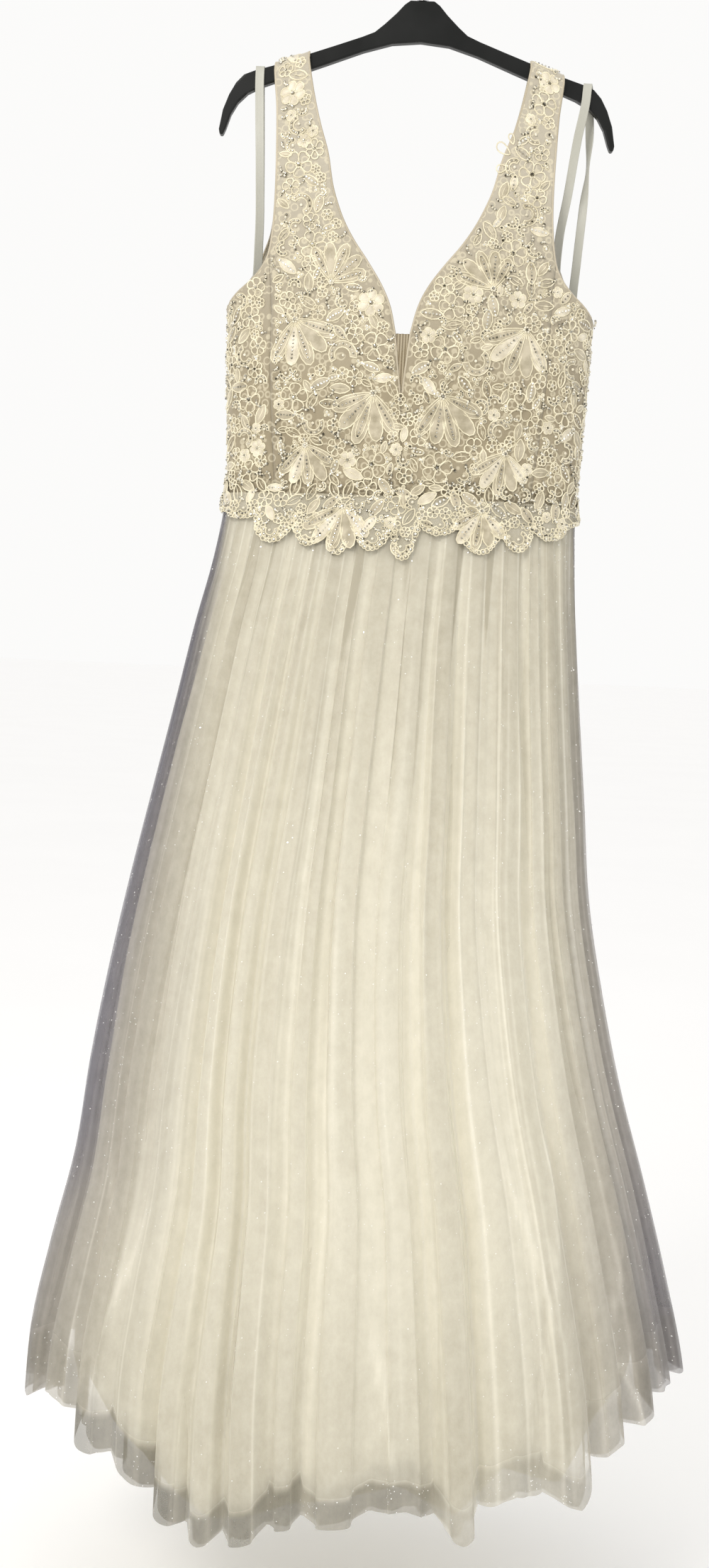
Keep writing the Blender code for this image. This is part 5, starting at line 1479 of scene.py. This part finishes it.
def border_lace(side, seed):
    """A fan or flower in each scallop, a looped edge, and small motifs between."""
    drawer = Drawer(seed)
    s_low, z_low = border_low(side)

    def inside(spot, margin):
        if abs(spot[0]) > s_low[-1] - margin:
            return False
        return np.interp(spot[0], s_low, z_low) + margin < spot[1] < BORDER_FILL_TOP

    discs = []
    for k, row in enumerate(SCALLOPS[side]):
        s = float(cloth_distance(row.x, row.low, side)[0])
        depth = WAIST_Z - row.low
        if k in BORDER_FANS:
            size = BORDER_FAN_SIZE * depth
            drawer.fan((s, row.low + size + BORDER_FAN_RISE), size, -90 + 8 * (-1) ** k, 1.0)
            discs.append(((s, row.low + 0.5 * size), 0.5 * size))
            continue
        size = BORDER_CURL + BORDER_CURL_VARY * (k % 3)
        low_spot = (s + 0.002 * (-1) ** k, row.low + size + BORDER_CURL_RISE)
        drawer.curl(low_spot, size, 180 + 25 * (-1) ** k)
        discs.append((low_spot, MOTIF_REACH["curl"] * size))
        for hand in (-1, 1):
            spot = (s + 0.85 * hand * row.half, row.low + 0.55 * depth)
            kind = "flower" if (k + hand) % 3 else "rings"
            drawer.draw(kind, spot, BORDER_SIDE_MOTIF, 40 * k)
            discs.append((spot, BORDER_SIDE_PATCH))
    fine = np.linspace(s_low[0], s_low[-1], 900)
    low = np.interp(fine, s_low, z_low)
    path = np.column_stack([fine, low])
    gone = distance_along(path)
    edge = np.arange(0.002, gone[-1], EDGE_RING_GAP)
    places = np.column_stack([np.interp(edge, gone, line) for line in path.T])
    for k, spot in enumerate(places + (0, EDGE_RING_RISE)):
        ring = circle(spot, drawer.vary(EDGE_RING, 0.25), np.arange(8) * math.pi / 4)
        drawer.lace.cord(ring, 0.9 * CORD_RADIUS, closed=True)
        if k % 2:
            drawer.stone(spot, 0.0011, KIND_SEQUIN if k % 4 == 1 else KIND_PEARL)
    low, high = (s_low[0], BORDER_FILL_LOW), (s_low[-1], BORDER_FILL_TOP)
    fill(drawer, discs, inside, low, high, BORDER_CLOSENESS)
    return drawer, discs


def build_border():
    """The border's pieces; returns the patches its motifs cover, for the bodice's lace."""
    taken = {}
    for side in (1, -1):
        border_net(side)
        drawer, taken[side] = border_lace(side, 40 + side)
        finish_lace(drawer, side, "border_", SIDE_NAME[side])
    return taken


# Skirt

def fold_shape(folds, degrees):
    """Which fold an angle is in, how far through it, and its share of the fold depth."""
    starts = np.array([row.start for row in folds])
    valleys = np.array([row.valley for row in folds])
    crests = np.array([row.crest for row in folds])
    i = np.clip(np.searchsorted(starts, degrees, side="right") - 1, 0, len(folds) - 2)
    span = starts[i + 1] - starts[i]
    t = np.clip((degrees - starts[i]) / span, 0, 1)
    low = valleys[i] + (valleys[i + 1] - valleys[i]) * t
    return i, t, span, low + (crests[i] - low) * np.sin(math.pi * t) ** 0.8


def hem_height(folds, degrees):
    """Height of the hem, lifted at the sides and uneven from fold to fold."""
    middles = [0.5 * (here.start + after.start) for here, after in zip(folds[:-1], folds[1:])]
    drop = np.interp(degrees, middles, [row.hem for row in folds[:-1]])
    return HEM_Z + HEM_SIDE_LIFT * np.sin(np.radians(degrees)) ** 2 - drop


def crease_offset(creases, degrees, z):
    """Soft troughs and ridges that run down and across the cloth."""
    total = np.zeros_like(z)
    for row in creases:
        gone = (row.top - z) / (row.top - row.low)
        centre = row.angle + row.slant * gone
        total += row.depth * fade_both(gone, 0.25, 0.3) * bell((degrees - centre) / row.width)
    return total


PLEAT_WAVES = 7
OVERHANG_LOW, OVERHANG_HIGH = 0.3, 1.3
SEAM_FADE = 7.0
TULLE_INSET = 0.0030
INNER_SHORTER = 0.002
INNER_SHIFT = 4.0
LINING_CLEAR = 0.0012
# Width of the painted highlight lines where the folds lap over
LINE_WIDTH = 0.45
# How fast the painted grey shade clear of the lining comes in, and how strong it is in front and behind
BEYOND_SPAN = 32.0
CLEAR_SHARE = {1: 1.0, -1: 0.45}
# How strong the hem's dark painted shade is, by angle
HEM_SHADE_ANGLES = (-90, -62, -50, -8, 4, 12, 16, 22, 30, 45, 60, 90)
HEM_SHADE_STRENGTHS = (0.25, 0.45, 0.9, 0.9, 1.0, 0.9, 0.35, 0.40, 0.60, 0.40, 0.30, 0.25)
HEM_ROUND = 0.008
# Height of the hem's rows, which carry the dark painted shade, how much taller at the sides, and how it
# varies
HEM_BAND = 0.040
HEM_BAND_SIDES = 0.6
HEM_BAND_VARY = 0.50
# Laps of the net: painted highlight lines, with painted shade beside them
FINE_LINES = 70
FINE_LINE_WIDTH = 0.30
FINE_LINE_REACH = 88
FINE_LINE_SLANT = 5.0
FINE_LINE_HIGHLIGHT = 1.5
LAP_FADE = 3.0
LAP_SHADE = 0.4
PLEAT_SIZE = 0.0008
PLEAT_GROWTH = 0.0010
INNER_GAP = 0.0006
INNER_STRETCH = 0.93
INNER_DEPTH = 0.85
WANDER = 0.45
HEM_ROUNDNESS = 0.6
ROWS_TOWARDS_TOP = 1.12
# Painted highlight on the ridges of slanting creases
CRISP_SLANT = 4.5
CRISP_WIDTH = 0.32
CREASES = {1: FRONT_CREASES, -1: BACK_CREASES}
WEDGES = {1: FRONT_WEDGES, -1: BACK_WEDGES}

# How much each part of the sheet's shape adds to its painted light and shade
TONE_MIDDLE = 0.70
# Painted light in the valleys and painted shade on the crests, against the shadow between folds
TONE_OFFSET = 0.24
# Painted highlights along the folds' turning edges, on the laps and on crease ridges; painted light and
# shade on creases
TONE_LINES = 0.14
TONE_LAPS = 0.36
TONE_CREASES = 27
TONE_CRISP = 0.26
TONE_SPREAD = 0.06


def lap_highlights_and_shade(degrees, share, seed):
    """Crisp edges where the net laps over itself: a painted highlight line, and painted shade that fades to
    one side.
    """
    pick = random.Random(seed)
    total = np.zeros(np.broadcast(degrees, share).shape)
    for _ in range(FINE_LINES):
        angle = FINE_LINE_REACH * (2 * pick.random() - 1)
        slant = FINE_LINE_SLANT * (pick.random() - 0.5)
        start = 0.55 * pick.random() ** 1.4
        end = min(1.05, start + 0.25 + 0.8 * pick.random())
        hand = pick.choice((-1, 1))
        strength = 0.12 + 0.26 * pick.random() ** 1.5
        gap = hand * (degrees - angle - slant * share)
        fade = smooth_step((share - start) / 0.10) * smooth_step((end - share) / 0.12)
        lap_shade = np.where(gap > 0, np.exp(-np.maximum(gap, 0) / LAP_FADE), 0.0)
        total += fade * strength * (FINE_LINE_HIGHLIGHT * bell(gap / FINE_LINE_WIDTH) - LAP_SHADE * lap_shade)
    return total


def fine_pleats(degrees, z, seed, size):
    """Small uneven folds between the large ones, from seeded waves."""
    pick = random.Random(seed)
    total = np.zeros_like(z)
    for _ in range(PLEAT_WAVES):
        cycles = 0.10 + 0.22 * pick.random()
        phase = 2 * math.pi * pick.random()
        drift = 3.0 * (pick.random() - 0.5)
        patch = 0.5 + 0.5 * np.sin(0.11 * degrees * (1 + pick.random()) + 5 * z + 6 * pick.random())
        total += patch * np.cos(2 * math.pi * cycles * (degrees + drift * z) + phase)
    return size * total / math.sqrt(PLEAT_WAVES)


def crease_highlights(creases, degrees, z):
    """Painted highlight along the sharp ridges of the creases that run across the cloth."""
    total = np.zeros_like(z)
    for row in creases:
        if abs(row.slant) < CRISP_SLANT:
            continue
        gone = (row.top - z) / (row.top - row.low)
        centre = row.angle + row.slant * smooth_step(gone)
        total += fade_both(gone, 0.3, 0.4) * bell((degrees - centre) / CRISP_WIDTH)
    return total


def wedge_shade(wedges, degrees, z):
    """Wedges of painted shade between the folds, narrowing downwards from the waist."""
    total = np.zeros_like(z)
    for row in wedges:
        half = row.half * (z - row.low) / (WAIST_Z - row.low)
        inside = smooth_step((half - np.abs(degrees - row.angle)) / 0.30 + 0.5)
        total += row.strength * inside * smooth_step((z - row.low) / 0.04)
    return total


def beyond_lining(angle, z):
    """Where nothing is behind the net: shares of the grey beige painted shade and of the lavender grey
    painted shade along the outline.
    """
    left, right = [{name: curve(z) for name, curve in CLEAR[hand].items()} for hand in (-1, 1)]
    start, edge_start, strength = [np.where(angle < 0, left[name], right[name])
                                   for name in ("beige", "edge", "strength")]
    beyond = smooth_step((np.abs(angle) - start) / BEYOND_SPAN)
    edge = strength * smooth_step((np.abs(angle) - edge_start) / (0.6 * (88 - edge_start)))
    return beyond, edge


def within_seams(degrees, z, side):
    """Angles kept half a seam's gap from the side seams."""
    limit = 90 - np.degrees(SEAM_GAP / 2 / DEPTH[side](z))
    return np.clip(degrees, -limit, limit)


def lining_out(degrees, z):
    """How far the lining's outer face lies from the mean oval."""
    opening = OPEN_SHARE(z)
    wave = LINING_WAVE * opening * np.cos(LINING_WAVES * np.radians(2 * (degrees + 90)))
    inset = (FOLD_DEPTH + LINING_ROOM + LINING_WAVE) * opening + TULLE_WALL + 2 * SEAM_GAP
    inset = inset + LINING_SIDE_ROOM * (opening * np.sin(np.radians(degrees))) ** 4
    seam = smooth_step((90 - np.abs(degrees)) / SEAM_FADE)
    return wave - inset - np.abs(crease_offset(LINING_CREASES, degrees, z)) * seam


def tulle_sheet(side, layer, seed):
    """Points and looks of one layer of half of the skirt, painted light and shade among the looks: layer 0
    is the outer one.
    """
    folds = FOLDS[side]
    pick = random.Random(seed)
    over = np.array([pick.random() ** 1.5 for _ in folds])
    over = OVERHANG_LOW + (OVERHANG_HIGH - OVERHANG_LOW) * over
    tone = np.array([TONE_SPREAD * (pick.random() - 0.5) for _ in folds])
    degrees = np.linspace(-90, 90, TULLE_COLUMNS)[None, :]
    i, t, span, offset = fold_shape(folds, degrees)
    top = WAIST_Z - SEAM_GAP
    low = hem_height(folds, degrees) + INNER_SHORTER * layer
    low = low - HEM_ROUND * (np.sin(math.pi * t) ** HEM_ROUNDNESS - 0.5)
    sides = np.sin(np.radians(degrees)) ** 4
    # Height of the hem band and the strength of its dark painted shade, fold by fold
    height = np.array([1 + HEM_BAND_VARY * (pick.random() - 0.5) for _ in folds])[i]
    height = HEM_BAND * height * (1 + HEM_BAND_SIDES * sides)
    strength = np.array([0.80 + 0.20 * pick.random() for _ in folds])[i]
    strength = strength * np.interp(side * degrees, HEM_SHADE_ANGLES, HEM_SHADE_STRENGTHS)
    upper = np.linspace(0, 1, TULLE_ROWS)[:, None] ** ROWS_TOWARDS_TOP
    lower = np.linspace(0, 1, HEM_ROWS + 1)[1:, None]
    z = np.vstack([top + (low + height - top) * upper, low + height * (1 - lower)])
    share = (top - z) / (top - low)
    opening = OPEN_SHARE(z)
    seam = smooth_step((90 - np.abs(degrees)) / SEAM_FADE)
    out = FOLD_DEPTH * opening * offset
    pleat = fine_pleats(degrees + 0 * z, z, seed + 1, PLEAT_SIZE + PLEAT_GROWTH * opening)
    crease = crease_offset(CREASES[side], degrees, z)
    out = out + seam * pleat * smooth_step(share / 0.06) + seam * crease * (1 - 0.6 * layer)
    if layer:
        _, _, _, other = fold_shape(folds, INNER_STRETCH * degrees + INNER_SHIFT)
        own = FOLD_DEPTH * opening * (INNER_DEPTH * other + 0.1) + seam * pleat
        out = np.minimum(out, own) - (INNER_GAP + TULLE_INSET * opening)
    out = np.maximum(out, lining_out(degrees, z) + LINING_CLEAR * (2 - layer))
    grow = smooth_step(share / 0.10) * (1 - 0.25 * share)
    lean = seam * span / (4 * math.pi) * over[i] * np.sin(4 * math.pi * t) * grow
    wander = WANDER * seam * np.sin(0.21 * degrees + 7 * z + seed) * smooth_step(share / 0.3)
    angle = within_seams(degrees + lean + wander, z, side)
    # Painted highlight lines where each fold's sheet turns back over itself
    turn = np.arccos(np.clip(-1 / (over[i] * grow + 1e-6), -1, 1)) / (4 * math.pi)
    lines = sum(bell((t - spot) * span / LINE_WIDTH)
                for spot in (turn, 0.5 - turn, 0.5 + turn, 1 - turn))
    fine = lap_highlights_and_shade(degrees, share, seed + 5)
    wedge = wedge_shade(WEDGES[side], degrees, z)
    crisp_highlight = crease_highlights(CREASES[side], degrees, z)
    beyond, edge = [CLEAR_SHARE[side] * part for part in beyond_lining(angle, z)]
    # Dark painted shade along the hem band
    band = strength * smooth_step(3.0 * (1.10 - (z - low) / height))
    # Painted light and shade: darker by height, lighter valleys, highlight lines, laps, creases, wedges;
    # per fold tone at random
    shade = TONE_MIDDLE + PAINTED_SHADE_BY_HEIGHT(z) - TONE_OFFSET * offset + tone[i] * (1 + 6 * band)
    shade = shade + TONE_LINES * lines * seam + TONE_LAPS * fine * (1 + 0.8 * beyond)
    shade = shade + TONE_CREASES * crease + TONE_CRISP * crisp_highlight - wedge
    looks = {
        "around": 0.1 * degrees + 3 * layer + 0 * z,
        "shade": shade,
        "beyond": beyond,
        "edge": edge,
        "band": band + 0 * degrees,
    }
    return skirt_at(angle, z, side, out), looks


def give_looks(piece, looks):
    """The sheet's looks, painted light and shade among them, as attributes, which its material reads."""
    for name, values in looks.items():
        layer = piece.data.attributes.new(name, "FLOAT", "POINT")
        layer.data.foreach_set("value", np.asarray(values, np.float32).ravel())


def build_tulle():
    """Two layers of net in front and two behind, with glitter on the outer ones."""
    for side in (1, -1):
        word = SIDE_NAME[side]
        for layer, materials in enumerate((TULLE_OUTER, TULLE_INNER)):
            points, looks = tulle_sheet(side, layer, 70 + 10 * side + layer)
            rows, columns = points.shape[:2]
            faces = grid_faces(rows, columns)
            if side > 0:
                faces = faces[:, ::-1]
            name = f"tulle_{word}_{'outer' if layer == 0 else 'inner'}"
            hem = np.repeat(np.arange(rows - 1) >= TULLE_ROWS - 1, columns - 1).astype(int)
            piece = mesh_object(name, points.reshape(-1, 3), faces, materials, hem)
            give_looks(piece, looks)
            nodes = [f"skirt_{word}"] if layer == 0 else []
            ride_and_slot(piece, "skirt_tulle", *nodes)
            if layer == 0:
                build_glitter(word, points, looks["shade"], 90 + side)


def build_glitter(word, points, shade, seed):
    """Fine flakes on the outer tulle, most where its painted light is brightest, each leaning its own way.
    """
    pick = np.random.default_rng(seed)
    columns = points.shape[1]
    weight = np.clip(shade, 0.05, 1.2)[:-1, :-1].ravel() ** 2
    cells = pick.choice(weight.size, GLITTER_FLAKES, p=weight / weight.sum())
    i, j = np.divmod(cells, columns - 1)
    fv, fu = pick.random((GLITTER_FLAKES, 1)), pick.random((GLITTER_FLAKES, 1))
    spot = (points[i, j] * (1 - fu) + points[i, j + 1] * fu) * (1 - fv)
    spot += (points[i + 1, j] * (1 - fu) + points[i + 1, j + 1] * fu) * fv
    across = points[i, j + 1] - points[i, j]
    up = points[i, j] - points[i + 1, j]
    across /= np.linalg.norm(across, axis=1, keepdims=True)
    up /= np.linalg.norm(up, axis=1, keepdims=True)
    normal = np.cross(across, up)
    lean = 0.55 * (pick.random((GLITTER_FLAKES, 2)) - 0.5)
    across = across + normal * lean[:, :1]
    up = up + normal * lean[:, 1:]
    radius = GLITTER_RADIUS * (0.7 + 0.6 * pick.random(GLITTER_FLAKES))[:, None]
    sign = 1 if word == "front" else -1
    centre = spot + normal * GLITTER_OUT * sign
    corners = [centre + (across * math.cos(k * math.pi / 3) + up * math.sin(k * math.pi / 3)) * radius
               for k in range(6)]
    flakes = np.stack(corners, axis=1).reshape(-1, 3)
    first = np.arange(GLITTER_FLAKES)[:, None] * 6
    faces = np.vstack([first + np.array([[0, 1, 2, 3]]), first + np.array([[0, 3, 4, 5]])])
    piece = mesh_object(f"glitter_{word}", flakes, faces, [GLITTER])
    ride_and_slot(piece, "skirt_tulle")


def build_lining():
    for side in (1, -1):
        degrees = np.linspace(-90, 90, LINING_COLUMNS)[None, :]
        share = np.linspace(0, 1, LINING_ROWS)[:, None]
        top = WAIST_Z - SEAM_GAP - 0.0005
        low = hem_height(FOLDS[side], degrees) + LINING_SHORTER
        z = top + (low - top) * share
        out = lining_out(degrees, z)
        angle = within_seams(degrees + 0 * z, z, side)
        word = SIDE_NAME[side]
        outside = skirt_at(angle, z, side, out)
        inside = skirt_at(angle, z, side, out - LINING_WALL)
        piece = wall_mesh(f"satin_{word}", outside, inside, [LINING])
        ride_and_slot(piece, "skirt_lining", f"lining_{word}")


# Ribbons

def smooth_route(strands, count):
    """Points and turns along a smooth curve through the strands."""
    rows = np.array([(r.x, r.y, r.z, math.radians(r.turn)) for r in strands])
    gone = distance_along(rows[:, :3])
    slopes = np.gradient(rows, gone, axis=0)
    at = np.linspace(0, gone[-1], count)
    i = np.clip(np.searchsorted(gone, at, side="right") - 1, 0, len(gone) - 2)
    span = (gone[i + 1] - gone[i])[:, None]
    t = ((at - gone[i]) / span[:, 0])[:, None]
    return hermite(rows, slopes, i, t, span)


def ribbon(name, strands, node):
    """A flat satin ribbon with a slightly thicker woven edge."""
    route = smooth_route(strands, RIBBON_STEPS)
    points, turn = route[:, :3], route[:, 3:]
    along = np.gradient(points, axis=0)
    along /= np.linalg.norm(along, axis=1, keepdims=True)
    across = np.array([1.0, 0.0, 0.0]) - along * along[:, :1]
    across /= np.linalg.norm(across, axis=1, keepdims=True)
    face = np.cross(along, across)
    wide = across * np.cos(turn) + face * np.sin(turn)
    thick = face * np.cos(turn) - across * np.sin(turn)
    spots = np.array([-1, -0.86, -0.7, -0.35, 0, 0.35, 0.7, 0.86, 1])
    depth = np.where(np.abs(spots) > 0.8, RIBBON_SELVEDGE, RIBBON_HALF_THICK)
    depth[[0, -1]] = 0.4 * RIBBON_SELVEDGE
    ring_u = np.concatenate([spots, spots[::-1]]) * RIBBON_HALF_WIDTH
    ring_d = np.concatenate([depth, -depth[::-1]])
    grid = points[:, None] + wide[:, None] * ring_u[:, None] + thick[:, None] * ring_d[:, None]
    faces = grid_faces(len(points), len(ring_u), closed=True)
    piece = mesh_object(name, grid.reshape(-1, 3), faces, [RIBBON])
    ride_and_slot(piece, "ribbon_satin", node)


# Hanger

def dress_hanger():
    """The hanger's three solids keep their shape and get their finish."""
    for name, material in (("hanger_body", PLASTIC), ("hook_collar", STEEL), ("hook", STEEL)):
        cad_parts[name].material_slots[0].material = material


# Camera, light and floor

def make_camera():
    data = bpy.data.cameras.new("camera")
    data.lens = CAMERA_LENS
    data.sensor_width = CAMERA_SENSOR
    data.sensor_fit = "AUTO"
    item = put_in_scene("camera", data)
    item.location = CAMERA_PLACE
    item.rotation_mode = "QUATERNION"
    down = math.radians(CAMERA_DOWN)
    look = Vector((0.0, math.cos(down), -math.sin(down)))
    upright = look.to_track_quat("-Z", "Y")
    item.rotation_quaternion = upright @ Quaternion((0.0, 0.0, 1.0), math.radians(CAMERA_ROLL))
    bpy.context.scene.camera = item


def area_light(name, place, aim, size, power, colour):
    data = bpy.data.lights.new(name, "AREA")
    data.shape = "RECTANGLE"
    data.size, data.size_y = size
    data.energy = power
    data.color = colour
    item = put_in_scene(name, data)
    item.location = place
    item.rotation_mode = "QUATERNION"
    item.rotation_quaternion = (Vector(aim) - Vector(place)).to_track_quat("-Z", "Y")


def make_light():
    world = bpy.data.worlds.new("soft_room")
    world.use_nodes = True
    sky = world.node_tree.nodes["Background"]
    sky.inputs["Color"].default_value = (1.0, 0.995, 0.985, 1.0)
    sky.inputs["Strength"].default_value = 0.97
    bpy.context.scene.world = world
    bpy.context.scene.view_settings.view_transform = "Standard"
    area_light("key", (-1.3, -2.2, 0.9), (0.0, 0.0, -0.8), (0.9, 0.9), 40.0, (1.0, 0.97, 0.92))
    area_light("fill", (1.8, -1.8, -0.6), (0.0, 0.0, -0.9), (1.2, 1.8), 6.0, (1.0, 0.98, 0.95))


FLOOR_HALF = 60.0
FLOOR_Z = -1.80


def make_floor():
    mesh = bpy.data.meshes.new("floor")
    corners = [(x * FLOOR_HALF, y * FLOOR_HALF, FLOOR_Z) for x, y in ((-1, -1), (1, -1), (1, 1), (-1, 1))]
    mesh.from_pydata(corners, [], [(0, 1, 2, 3)])
    floor = put_in_scene("floor", mesh)
    material, tree, shader = shader_of("floor_pale")
    two_tone(tree, shader, noise(tree, object_place(tree), 1.5), (0.985, 0.98, 0.975), (0.995, 0.99, 0.985))
    set_shader(shader, Roughness=0.9)
    mesh.materials.append(material)


def build():
    make_camera()
    build_bodice()
    build_notch()
    build_placket()
    build_bodice_lace(build_border())
    build_tulle()
    build_lining()
    ribbon("ribbon_loop_left", LEFT_LOOP, "ribbon_left")
    ribbon("ribbon_loop_right", RIGHT_LOOP, "ribbon_right")
    dress_hanger()
    make_light()
    make_floor()


build()
